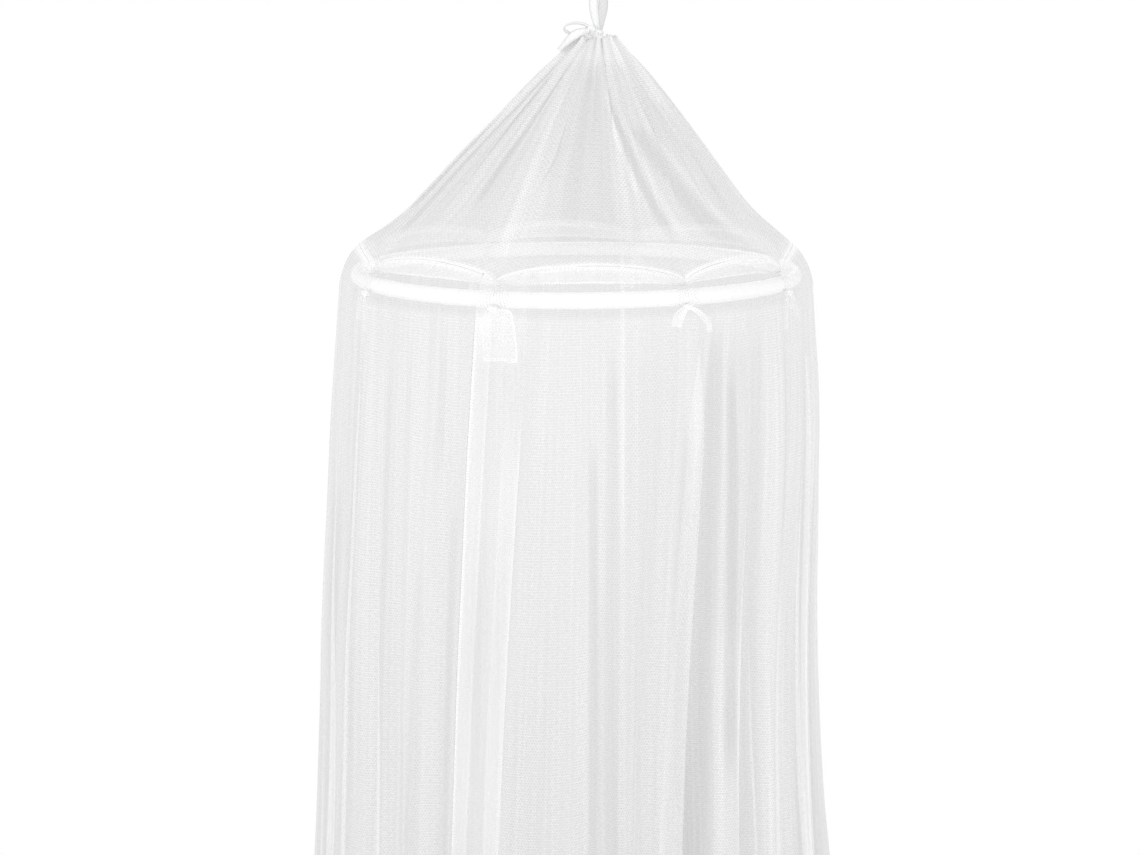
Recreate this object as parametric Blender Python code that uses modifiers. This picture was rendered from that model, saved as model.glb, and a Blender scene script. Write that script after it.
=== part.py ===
"""Mosquito net canopy that hangs by a tape loop from a ceiling hook.

A gathered net roof falls to a round hoop. The hoop is tied inside the net, to a strip of folded net that
covers the seam between the roof and the skirt. The skirt is two net panels, which overlap at the front left
and meet in a seam at the back.

Metres, +Z up. The origin is the crown of the hanging loop. The front faces -Y, and an angle about Z is
measured from the front towards +X, in degrees. A height in the net's own functions is above the hoop's plane.
"""

import math
from collections import namedtuple

import bmesh
import bpy
from mathutils import Matrix, Vector

OBJECT = "mosquito_net_canopy"

# Driving sizes
HOOP_RADIUS = 0.290  # to the middle of the tube
TUBE_RADIUS = 0.010
ROOF_HEIGHT = 0.302  # from the hoop's plane up to the gathered rim
RIM_RADIUS = 0.026
RIM_SHIFT = 0.028  # the rim hangs this far to the right of the hoop's middle
LOOP_RISE = 0.110  # from the rim up to the crown of the hanging loop
SKIRT_DROP = 2.000  # from the hoop's plane down to the hem
NET = 0.0012  # thickness of a layer of net
HOOP_X = -0.029  # the hoop hangs off centre, so its middle is this far to the left of the hook
HOOP_Z = -LOOP_RISE - ROOF_HEIGHT

# Skirt panels, by the angles of their edges at the hoop
OPENING_OUTER = -22.0  # left edge of the right panel, which lies outside
OPENING_INNER = -10.0  # right edge of the left panel, which lies inside
BACK_SEAM = 167.0
SEAM_GAP = 0.18  # degrees left open on each side of the back seam
LAP = 0.0045  # the right panel stands this far outside the left one
LAP_FADE = 12.0  # degrees over which the lap dies out beyond the left panel's edge

# Where the net crosses the hoop, as radius and height, at a tie and halfway between two ties
Crossing = namedtuple("Crossing", "seam shoulder side strip_top strip_foot")
AT_TIE = Crossing((0.2940, 0.0172), (0.3090, 0.0120), (0.3130, -0.012), (0.2915, 0.0150), (0.2810, 0.0128))
AT_BOW = Crossing((0.2870, 0.0400), (0.3100, 0.0200), (0.3140, -0.012), (0.2848, 0.0382), (0.2835, 0.0195))
BOW_SHARPNESS = 0.55  # below 1 the bow rises steeply beside a tie and is flat in the middle

# The ties, with the way their two loose ends hang: sideways reach, drop and width at the end
Tie = namedtuple("Tie", "angle wrap left_out left_drop left_width right_out right_drop right_width")
TIES = (
    Tie(-152.6, 0.026, -0.016, 0.040, 0.014, 0.014, 0.052, 0.012),
    Tie(-107.0, 0.030, -0.010, 0.054, 0.016, 0.018, 0.036, 0.010),
    Tie(-61.0, 0.028, -0.018, 0.034, 0.012, 0.010, 0.046, 0.014),
    Tie(-19.0, 0.046, -0.012, 0.030, 0.012, 0.004, 0.066, 0.046),
    Tie(26.0, 0.034, -0.018, 0.022, 0.014, 0.026, 0.030, 0.007),
    Tie(62.0, 0.028, -0.014, 0.044, 0.012, 0.016, 0.032, 0.012),
    Tie(105.0, 0.030, -0.012, 0.050, 0.014, 0.014, 0.042, 0.012),
    Tie(162.5, 0.026, -0.016, 0.038, 0.012, 0.012, 0.050, 0.014),
)
WRAP_INNER = 0.0106
WRAP_OUTER = 0.0122
KNOT_RADIUS = 0.0052
TAIL_THICKNESS = 0.0018

# Outline of the skirt, by the drop below the hoop: its radius on the left and on the right
Girth = namedtuple("Girth", "drop left right")
SKIRT_GIRTHS = (
    Girth(0.012, 0.3135, 0.3135),
    Girth(0.04, 0.3165, 0.3160),
    Girth(0.175, 0.3285, 0.3265),
    Girth(0.32, 0.3390, 0.3285),
    Girth(0.46, 0.3500, 0.3295),
    Girth(0.61, 0.3565, 0.3360),
    Girth(0.76, 0.3640, 0.3470),
    Girth(0.84, 0.3695, 0.3560),
    Girth(1.35, 0.4050, 0.4010),
    Girth(2.00, 0.4480, 0.4480),
)
SKIRT_DROPS = (0.05, 0.13, 0.26, 0.46, 0.72, 1.02, 1.35, 1.68, SKIRT_DROP)
SHOULDER_STEPS = (0.0, 0.4, 0.75, 1.0)

# How far the folds lean sideways by the time they reach the hem, in degrees
Sway = namedtuple("Sway", "angle lean")
SWAYS = (
    Sway(-200, 0.0),
    Sway(-90, 0.0),
    Sway(-62, 2.0),
    Sway(-40, -1.5),
    Sway(-22, -4.5),
    Sway(-10, -8.0),
    Sway(4, 0.5),
    Sway(16, -5.0),
    Sway(27, -11.0),
    Sway(32, -12.5),
    Sway(38, -8.5),
    Sway(45, -5.5),
    Sway(51, -7.0),
    Sway(60, -5.5),
    Sway(75, -3.5),
    Sway(95, 0.0),
    Sway(200, 0.0),
)
SWAY_REACH = 0.55

# Folds of the skirt: a positive depth stands out and a negative one lies in, and start is the drop it begins at
Fold = namedtuple("Fold", "angle width depth start")
FOLDS = (
    Fold(-183.0, 4.0, -0.020, 0.10),
    Fold(-175.0, 4.6, 0.010, 0.12),
    Fold(-164.0, 4.2, -0.024, 0.06),
    Fold(-152.0, 5.0, 0.010, 0.08),
    Fold(-140.0, 4.4, -0.018, 0.14),
    Fold(-128.0, 5.0, 0.012, 0.10),
    Fold(-116.0, 4.2, -0.026, 0.08),
    Fold(-104.0, 4.6, 0.008, 0.10),
    Fold(-93.0, 4.0, -0.014, 0.16),
    Fold(-83.0, 4.0, 0.005, 0.08),
    Fold(-74.0, 3.4, -0.018, 0.10),
    Fold(-63.5, 3.0, -0.012, 0.04),
    Fold(-56.0, 3.4, 0.010, 0.06),
    Fold(-49.0, 2.8, -0.016, 0.04),
    Fold(-40.0, 3.0, -0.014, 0.03),
    Fold(-34.0, 3.2, 0.009, 0.06),
    Fold(-28.0, 2.4, -0.012, 0.05),
    Fold(-20.5, 2.6, 0.006, 0.02),
    Fold(-13.0, 3.4, -0.006, 0.10),
    Fold(-4.0, 3.6, 0.006, 0.10),
    Fold(4.0, 3.0, -0.014, 0.05),
    Fold(10.5, 4.0, 0.008, 0.10),
    Fold(19.0, 4.0, -0.010, 0.15),
    Fold(27.0, 3.2, 0.014, 0.00),
    Fold(32.5, 3.0, -0.034, 0.00),
    Fold(39.5, 3.0, 0.010, 0.04),
    Fold(44.0, 2.6, -0.022, 0.02),
    Fold(51.5, 3.4, 0.012, 0.02),
    Fold(59.0, 3.2, -0.018, 0.06),
    Fold(68.0, 4.4, 0.010, 0.10),
    Fold(77.0, 4.0, -0.020, 0.12),
    Fold(88.0, 4.6, 0.006, 0.08),
    Fold(98.0, 4.0, -0.024, 0.10),
    Fold(110.0, 5.0, 0.012, 0.05),
    Fold(122.0, 4.6, -0.022, 0.16),
    Fold(134.0, 5.0, 0.010, 0.10),
    Fold(146.0, 4.4, -0.026, 0.08),
    Fold(156.5, 3.8, 0.010, 0.12),
)
FOLD_REACH = 0.34  # drop over which a fold opens
FOLD_GROWTH = 0.28  # further growth of a fold by each metre of drop
HEM_WAVE = 0.006

# Roof: height is a share of the way from the rim to the seam
Rise = namedtuple("Rise", "share sag")
ROOF_RISES = (
    Rise(0.07, 0.000),
    Rise(0.26, 0.001),
    Rise(0.52, 0.004),
    Rise(0.80, 0.008),
    Rise(1.00, 0.000),
)
RIM_ROLL = ((-0.0050, 0.0010), (-0.0010, 0.0042))  # the casing's turned top: radius change and height
ROOF_PLEATS = 19
PLEAT_DEPTH = 0.0022
ROOF_CLEAR = 0.0009  # the roof's edge stops this far inside and above the skirt's
COLUMN_SPACING = 1.9  # least angle between two columns of the net

# Hanging tape
TAPE_WIDTH = 0.014
TAPE = 0.0012
LOOP_WIDTH = 0.024
LOOP_TURN = 35.0  # the loop's plane is turned this far from the YZ plane
LOOP_FOOT = Vector((0.0, 0.0, 0.009))  # from the rim's level, below the crown
BOW_KNOT = Vector((-0.011, -0.008, 0.0125))

# Colours of the solids
NET_WHITE = (0.86, 0.87, 0.87)
TAPE_WHITE = (0.93, 0.93, 0.93)
HOOP_WHITE = (0.96, 0.96, 0.96)


def clear_scene():
    """Removes what the scene holds."""
    for item in list(bpy.data.objects):
        bpy.data.objects.remove(item, do_unlink=True)


def make_collection(name, hidden=False):
    """Adds a collection to the scene."""
    group = bpy.data.collections.new(name)
    group.hide_render = hidden
    bpy.context.scene.collection.children.link(group)
    return group


def make_material(name, colour, roughness):
    """Makes a Principled material."""
    material = bpy.data.materials.new(name)
    material.use_nodes = True
    shader = material.node_tree.nodes["Principled BSDF"]
    shader.inputs["Base Color"].default_value = (*colour, 1.0)
    shader.inputs["Roughness"].default_value = roughness
    shader.inputs["Metallic"].default_value = 0.0
    return material


def add_object(name, mesh, group, colour, roughness):
    """Links a mesh to its collection as a named object with a material of its own."""
    item = bpy.data.objects.new(name, mesh)
    mesh.materials.append(make_material(name, colour, roughness))
    mesh.shade_smooth()
    group.objects.link(item)
    return item


def lerp(a, b, share):
    """Mixes two numbers or two equal tuples."""
    if isinstance(a, tuple):
        return tuple(lerp(p, q, share) for p, q in zip(a, b))
    return a + (b - a) * share


def read_table(rows, key, value, at):
    """Reads a table between its rows on a smooth curve, with the end rows held beyond it."""
    keys = [getattr(row, key) for row in rows]
    values = [getattr(row, value) for row in rows]
    if at <= keys[0]:
        return values[0]
    if at >= keys[-1]:
        return values[-1]
    i = max(k for k in range(len(keys) - 1) if keys[k] <= at)
    low, high = max(i - 1, 0), min(i + 2, len(keys) - 1)
    step = keys[i + 1] - keys[i]
    start = (values[i + 1] - values[low]) / (keys[i + 1] - keys[low]) * step
    end = (values[high] - values[i]) / (keys[high] - keys[i]) * step
    s = (at - keys[i]) / step
    return (
        values[i] * (2 * s**3 - 3 * s**2 + 1)
        + start * (s**3 - 2 * s**2 + s)
        + values[i + 1] * (3 * s**2 - 2 * s**3)
        + end * (s**3 - s**2)
    )


def spread(angle, radius, height):
    """Turns an angle, a radius about the hoop's middle and a height above its plane into a point."""
    turn = math.radians(angle)
    return Vector((HOOP_X + radius * math.sin(turn), -radius * math.cos(turn), HOOP_Z + height))


def bow(angle):
    """How far the seam is bowed up: 0 at a tie and 1 halfway between two."""
    ties = [tie.angle for tie in TIES]
    ties.append(ties[0] + 360.0)
    while angle < ties[0]:
        angle += 360.0
    while angle >= ties[-1]:
        angle -= 360.0
    i = max(k for k in range(len(TIES)) if ties[k] <= angle)
    share = (angle - ties[i]) / (ties[i + 1] - ties[i])
    return math.sin(math.pi * share) ** BOW_SHARPNESS


def crossing(angle, part):
    """Radius and height of one of the points where the net crosses the hoop."""
    return lerp(getattr(AT_TIE, part), getattr(AT_BOW, part), bow(angle))


def sway(angle, drop):
    """Sideways lean, in degrees, of the fold that starts at an angle."""
    full = read_table(SWAYS, "angle", "lean", angle)
    return full * (1.0 - math.exp(-((max(drop, 0.0) / SWAY_REACH) ** 1.3)))


def girth(angle, drop):
    """Radius of the skirt's outline, which bells out more to the left than to the right."""
    left, right = (read_table(SKIRT_GIRTHS, "drop", side, drop) for side in ("left", "right"))
    return (left + right) / 2 + (right - left) / 2 * math.sin(math.radians(angle))


def fold_depth(angle, drop):
    """How far the skirt stands out or lies in, at an angle taken at the hoop."""
    total = 0.0
    for fold in FOLDS:
        below = drop - fold.start
        if below > 0.0:
            opened = (1.0 - math.exp(-below / FOLD_REACH)) * (1.0 + FOLD_GROWTH * drop)
            aside = (angle - fold.angle + 180.0) % 360.0 - 180.0
            total += fold.depth * opened * math.exp(-((aside / fold.width) ** 2))
    return total


def lap(angle):
    """Share of the lap by which the right panel stands outside the left one."""
    past = (angle - OPENING_INNER) / LAP_FADE
    return 1.0 - min(max(past, 0.0), 1.0)


def skirt_rows(angle, lapped):
    """The points of one column of a skirt panel, from the seam down to the hem."""
    out = LAP * lap(angle) if lapped else 0.0
    seam, shoulder, side = (crossing(angle, part) for part in ("seam", "shoulder", "side"))
    points = []
    for step in SHOULDER_STEPS:
        radius, height = lerp(lerp(seam, shoulder, step), lerp(shoulder, side, step), step)
        tilt = math.radians(60.0) * (1.0 - step)
        points.append(spread(angle, radius + out * math.cos(tilt), height + out * math.sin(tilt)))
    for drop in SKIRT_DROPS:
        radius = girth(angle, drop) + fold_depth(angle, drop) + out
        wave = HEM_WAVE * math.sin(math.radians(5.0 * angle)) * (drop / SKIRT_DROP)
        points.append(spread(angle + sway(angle, drop), radius, -drop + wave))
    return points


def column_angles():
    """Angles of the net's columns all the way round, shared by its pieces so that their edges run together.

    The ties and the panels' edges come first, then each fold and the middle between two folds.
    """
    angles = [tie.angle for tie in TIES] + [OPENING_OUTER, OPENING_INNER, BACK_SEAM, BACK_SEAM - 360.0]
    folds = [fold.angle for fold in FOLDS]
    middles = [(a + b) / 2 for a, b in zip(folds, folds[1:])]
    for angle in folds + middles:
        if min(abs(angle - other) for other in angles) >= COLUMN_SPACING:
            angles.append(angle)
    return sorted(angles)


def panel_angles(angles, first, last):
    """The columns of one panel, with its ends drawn in at the back seam."""
    inside = [angle for angle in angles if first < angle < last]
    return [first, *inside, last]


def grid_mesh(name, columns, closed):
    """Joins columns of points into an open sheet, with its outer side facing away from the middle."""
    form = bmesh.new()
    verts = [[form.verts.new(point) for point in column] for column in columns]
    count = len(verts)
    for i in range(count if closed else count - 1):
        near, far = verts[i], verts[(i + 1) % count]
        for j in range(len(near) - 1):
            form.faces.new((near[j], near[j + 1], far[j + 1], far[j]))
    mesh = bpy.data.meshes.new(name)
    form.to_mesh(mesh)
    form.free()
    return mesh


def thicken(item, thickness):
    """Gives an open sheet its thickness, half to each side."""
    solid = item.modifiers.new("thickness", "SOLIDIFY")
    solid.thickness = thickness
    solid.offset = 0.0


def build_panel(name, angles, lapped, group):
    """One skirt panel."""
    columns = [skirt_rows(angle, lapped) for angle in angles]
    item = add_object(name, grid_mesh(name, columns, False), group, NET_WHITE, 0.8)
    thicken(item, NET)


def roof_rows(angle):
    """The points of one column of the roof, from the turned casing down to the seam."""
    turn = math.radians(angle)
    outward = Vector((math.sin(turn), -math.cos(turn), 0.0))
    ripple = PLEAT_DEPTH * math.sin(ROOF_PLEATS * turn + 1.3 * math.sin(3.0 * turn))
    middle = Vector((HOOP_X + RIM_SHIFT, 0.0, HOOP_Z + ROOF_HEIGHT))
    top = middle + outward * (RIM_RADIUS + ripple)
    radius, height = crossing(angle, "seam")
    foot = spread(angle, radius - ROOF_CLEAR, height + ROOF_CLEAR)
    points = []
    for change, rise in RIM_ROLL:
        points.append(top + outward * change + Vector((0.0, 0.0, rise)))
    for row in ROOF_RISES:
        point = top.lerp(foot, row.share)
        inward = row.sag * bow(angle) - ripple * (1.0 - row.share) * min(row.share * 6.0, 1.0)
        points.append(point - (outward + Vector((0.0, 0.0, 1.0))) * inward)
    return points


def build_roof(angles, group):
    """The gathered roof, with its casing."""
    columns = [roof_rows(angle) for angle in angles]
    item = add_object("roof", grid_mesh("roof", columns, True), group, NET_WHITE, 0.8)
    thicken(item, NET)


def build_strip(angles, group):
    """The strip of folded net that covers the seam on the inside and holds the ties."""
    columns = []
    for angle in angles:
        top, foot = crossing(angle, "strip_top"), crossing(angle, "strip_foot")
        columns.append([spread(angle, *top), spread(angle, *foot)])
    item = add_object("hoop_strip", grid_mesh("hoop_strip", columns, True), group, NET_WHITE, 0.8)
    thicken(item, NET)


def build_hoop(group):
    """The round tube."""
    bpy.ops.mesh.primitive_torus_add(
        major_radius=HOOP_RADIUS,
        minor_radius=TUBE_RADIUS,
        major_segments=64,
        minor_segments=8,
        location=(HOOP_X, 0.0, HOOP_Z),
    )
    item = bpy.context.object
    for owner in list(item.users_collection):
        owner.objects.unlink(item)
    item.name = "hoop"
    item.data.name = "hoop"
    item.data.materials.append(make_material("hoop", HOOP_WHITE, 0.35))
    item.data.shade_smooth()
    group.objects.link(item)


def ribbon(name, points, widths, across, thickness):
    """A closed flat band along points, with its width across the given direction at each of them."""
    form = bmesh.new()
    rings = []
    for i, point in enumerate(points):
        before, after = points[max(i - 1, 0)], points[min(i + 1, len(points) - 1)]
        along = (after - before).normalized()
        side = across[i] - along * across[i].dot(along)
        side.normalize()
        face = along.cross(side)
        corners = []
        for s, f in ((-1, -1), (1, -1), (1, 1), (-1, 1)):
            corners.append(form.verts.new(point + side * (s * widths[i] / 2) + face * (f * thickness / 2)))
        rings.append(corners)
    for near, far in zip(rings, rings[1:]):
        for k in range(4):
            form.faces.new((near[k], near[(k + 1) % 4], far[(k + 1) % 4], far[k]))
    form.faces.new(reversed(rings[0]))
    form.faces.new(rings[-1])
    bmesh.ops.recalc_face_normals(form, faces=form.faces)
    mesh = bpy.data.meshes.new(name)
    form.to_mesh(mesh)
    form.free()
    return mesh


def knob(name, centre, axes, sizes):
    """A flattened ball with half sizes along three directions, for a pulled knot."""
    form = bmesh.new()
    bmesh.ops.create_uvsphere(form, u_segments=8, v_segments=5, radius=1.0)
    turn = Matrix((axes[0] * sizes[0], axes[1] * sizes[1], axes[2] * sizes[2])).transposed()
    for vert in form.verts:
        vert.co = turn @ vert.co + centre
    bmesh.ops.recalc_face_normals(form, faces=form.faces)
    mesh = bpy.data.meshes.new(name)
    form.to_mesh(mesh)
    form.free()
    return mesh


def wrap_mesh(name, centre, along, out, width):
    """The turn of a tie round the tube, wider on the outside than over the top."""
    sides = 10
    form = bmesh.new()
    loops = []
    for end, radius in ((-1, WRAP_INNER), (1, WRAP_INNER), (1, WRAP_OUTER), (-1, WRAP_OUTER)):
        ring = []
        for k in range(sides):
            turn = 2 * math.pi * k / sides
            reach = radius / math.cos(math.pi / sides)
            half = width / 2 * (0.80 + 0.20 * math.cos(turn + math.radians(40.0)))
            offset = out * (reach * math.cos(turn)) + Vector((0.0, 0.0, reach * math.sin(turn)))
            ring.append(form.verts.new(centre + offset + along * (end * half)))
        loops.append(ring)
    for i in range(4):
        near, far = loops[i], loops[(i + 1) % 4]
        for k in range(sides):
            form.faces.new((near[k], near[(k + 1) % sides], far[(k + 1) % sides], far[k]))
    bmesh.ops.recalc_face_normals(form, faces=form.faces)
    mesh = bpy.data.meshes.new(name)
    form.to_mesh(mesh)
    form.free()
    return mesh


def unite(name, meshes, group, cutters, colour, roughness):
    """Joins overlapping meshes into one solid."""
    item = add_object(name, meshes[0], group, colour, roughness)
    for i, mesh in enumerate(meshes[1:]):
        tool = bpy.data.objects.new(f"{name}_add_{i}", mesh)
        tool.hide_render = True
        tool.display_type = "WIRE"
        cutters.objects.link(tool)
        join = item.modifiers.new(f"add {i}", "BOOLEAN")
        join.operation = "UNION"
        join.solver = "EXACT"
        join.object = tool
    return item


def tail_mesh(name, knot, along, out, reach, drop, width):
    """One loose end of a tie: it leaves the knot sideways and hangs straight down."""
    down = Vector((0.0, 0.0, -1.0))
    points = []
    for share in (0.0, 0.18, 0.42, 0.70, 1.0):
        sideways = reach * math.sin(share * math.pi / 2)
        points.append(knot + along * sideways + down * (drop * share**1.25) + out * (0.002 * share))
    widths = [0.005, lerp(0.006, width, 0.35), lerp(0.006, width, 0.8), width, width * 0.96]
    return ribbon(name, points, widths, [along + down * 0.15] * len(points), TAIL_THICKNESS)


def build_tie(index, tie, group, cutters):
    """A tie: a turn round the tube, its knot below and two loose ends."""
    turn = math.radians(tie.angle)
    along = Vector((math.cos(turn), math.sin(turn), 0.0))
    out = Vector((math.sin(turn), -math.cos(turn), 0.0))
    up = Vector((0.0, 0.0, 1.0))
    name = f"tie_{index}"
    centre = spread(tie.angle, HOOP_RADIUS, 0.0)
    knot = centre + out * 0.004 - up * 0.0158
    solid = [
        wrap_mesh(name, centre, along, out, tie.wrap),
        knob(f"{name}_knot", knot, (along, out, up), (KNOT_RADIUS * 1.3, KNOT_RADIUS, KNOT_RADIUS * 0.8)),
        tail_mesh(f"{name}_left", knot, along, out, tie.left_out, tie.left_drop, tie.left_width),
        tail_mesh(f"{name}_right", knot + out * 0.0024, along, out, tie.right_out, tie.right_drop, tie.right_width),
    ]
    unite(name, solid, group, cutters, NET_WHITE, 0.8)


def build_tape(group, cutters):
    """The hanging tape: loop, knot, half bow and loose end."""
    rim = Vector((0.0, 0.0, HOOP_Z + ROOF_HEIGHT))
    foot = rim + LOOP_FOOT
    turn = math.radians(LOOP_TURN)
    wide = Vector((math.sin(turn), math.cos(turn), 0.0))
    flat = Vector((math.cos(turn), -math.sin(turn), 0.0))
    half = LOOP_WIDTH / 2
    crown = Vector((0.0, 0.0, -half - TAPE / 2))
    loop_points = [foot - wide * 0.001, foot + Vector((0.0, 0.0, 0.012)) - wide * 0.005]
    loop_points.append(foot + Vector((0.0, 0.0, 0.034)) - wide * (half * 0.92))
    for step in range(9):
        swing = math.pi * step / 8
        loop_points.append(crown - wide * (half * math.cos(swing)) + Vector((0.0, 0.0, half * math.sin(swing))))
    loop_points.append(foot + Vector((0.0, 0.0, 0.034)) + wide * (half * 0.92))
    loop_points += [foot + Vector((0.0, 0.0, 0.012)) + wide * 0.005, foot + wide * 0.001]
    widths = [TAPE_WIDTH * share for share in (0.7, 0.8)]
    widths += [TAPE_WIDTH] * (len(loop_points) - 4) + list(reversed(widths))
    knot = rim + BOW_KNOT
    bow_points = []
    for step in range(10):
        swing = 2 * math.pi * step / 9
        bow_points.append(
            knot
            + Vector((-0.0165 * (1.0 - math.cos(swing)), -0.004 * math.sin(swing / 2), 0.0075 * math.sin(swing)))
            + Vector((0.0, -0.0008 * step, 0.002 * math.sin(swing / 2)))
        )
    lean = Vector((0.25, 1.0, 0.35))
    tail_points = [
        knot + Vector((0.0, -0.003, -0.001)),
        knot + Vector((-0.010, -0.010, -0.002)),
        knot + Vector((-0.021, -0.014, -0.007)),
        knot + Vector((-0.031, -0.015, -0.016)),
        knot + Vector((-0.040, -0.014, -0.026)),
    ]
    tail_across = [Vector((0.5, 0.3, 0.9)) for _ in tail_points]
    tail_widths = [0.006, 0.009, 0.0115, 0.012, 0.012]
    axes = (Vector((1, 0, 0)), Vector((0, 1, 0)), Vector((0, 0, 1)))
    solid = [
        ribbon("hanging_tape", loop_points, widths, [flat] * len(loop_points), TAPE),
        knob("tape_foot", foot + Vector((-0.003, -0.002, 0.000)), axes, (0.0085, 0.0070, 0.0055)),
        knob("bow_knot", knot, axes, (0.0065, 0.0055, 0.0060)),
        ribbon("bow_loop", bow_points, [0.008] * len(bow_points), [lean] * len(bow_points), TAPE),
        ribbon("bow_tail", tail_points, tail_widths, tail_across, TAPE),
    ]
    unite("hanging_tape", solid, group, cutters, TAPE_WHITE, 0.6)


def main():
    """Builds the canopy."""
    clear_scene()
    group = make_collection(OBJECT)
    cutters = make_collection("joining_tools", hidden=True)
    build_hoop(group)
    angles = column_angles()
    build_roof(angles[:-1], group)
    build_strip(angles[:-1], group)
    right = panel_angles(angles, OPENING_OUTER, BACK_SEAM - SEAM_GAP)
    left = panel_angles(angles, BACK_SEAM - 360.0 + SEAM_GAP, OPENING_INNER)
    build_panel("skirt_right", right, True, group)
    build_panel("skirt_left", left, False, group)
    for index, tie in enumerate(TIES, start=1):
        build_tie(index, tie, group, cutters)
    build_tape(group, cutters)


main()
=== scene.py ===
"""Looks of a round mosquito net canopy: sheer knitted net over a hoop, gathered to a tape at the top.

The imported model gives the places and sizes. Each class here builds one sub-assembly as fine cloth on the folds
of its plain solid, and each finish is a frozen dataclass that makes one procedural material.

Angles are in degrees, from the front (-Y) towards +X. A height is above the hoop's plane and a drop is below
it, in metres.
"""

import logging
import math
from collections.abc import Callable, Sequence
from dataclasses import dataclass
from enum import Enum
from typing import Any, NamedTuple

import bpy
import numpy as np
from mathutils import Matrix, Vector


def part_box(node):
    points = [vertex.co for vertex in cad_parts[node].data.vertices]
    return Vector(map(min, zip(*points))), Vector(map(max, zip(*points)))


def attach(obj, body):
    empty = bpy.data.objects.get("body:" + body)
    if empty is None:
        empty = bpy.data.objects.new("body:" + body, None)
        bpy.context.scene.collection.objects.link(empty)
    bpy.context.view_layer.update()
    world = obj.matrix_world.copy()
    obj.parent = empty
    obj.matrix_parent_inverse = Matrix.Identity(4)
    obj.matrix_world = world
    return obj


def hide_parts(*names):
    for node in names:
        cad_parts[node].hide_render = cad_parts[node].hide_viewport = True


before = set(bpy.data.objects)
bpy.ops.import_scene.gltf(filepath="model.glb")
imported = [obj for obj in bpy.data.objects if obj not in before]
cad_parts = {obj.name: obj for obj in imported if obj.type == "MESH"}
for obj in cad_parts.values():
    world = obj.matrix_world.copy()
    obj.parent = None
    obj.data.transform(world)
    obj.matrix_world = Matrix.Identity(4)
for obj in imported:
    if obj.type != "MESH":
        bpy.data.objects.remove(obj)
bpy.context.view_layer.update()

log = logging.getLogger("canopy")
Grid = np.ndarray
Colour = tuple[float, float, float, float]

# ---------------------------------------------------------------------------------------------- materials


def linear(hex_colour: str) -> Colour:
    """Turns an sRGB hex colour into linear RGBA.

    Args:
        hex_colour: Six hex digits after a hash.

    Returns:
        Linear red, green and blue, with alpha 1.
    """
    parts = [int(hex_colour[i : i + 2], 16) / 255 for i in (1, 3, 5)]
    rgb = [c / 12.92 if c <= 0.04045 else ((c + 0.055) / 1.055) ** 2.4 for c in parts]
    return (rgb[0], rgb[1], rgb[2], 1.0)


def add_node(tree: Any, kind: str, settings: dict[str, Any], inputs: dict[Any, Any]) -> Any:
    """Adds a node with its settings and links.

    Args:
        tree: The node tree.
        kind: The node's type name, without the ShaderNode prefix.
        settings: Attributes to set on the node.
        inputs: A socket to link from, or a value to set, for each input by name or number.

    Returns:
        The new node.
    """
    node = tree.nodes.new("ShaderNode" + kind)
    for name, value in settings.items():
        setattr(node, name, value)
    for key, value in inputs.items():
        if isinstance(value, bpy.types.NodeSocket):
            tree.links.new(value, node.inputs[key])
        else:
            node.inputs[key].default_value = value
    return node


def new_material(name: str) -> tuple[Any, Any, Any]:
    """Makes an empty node material.

    Args:
        name: The material's name.

    Returns:
        The material, its tree and its output node.
    """
    material = bpy.data.materials.new(name)
    material.use_nodes = True
    material.node_tree.nodes.clear()
    output = add_node(material.node_tree, "OutputMaterial", {}, {})
    return material, material.node_tree, output


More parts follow.
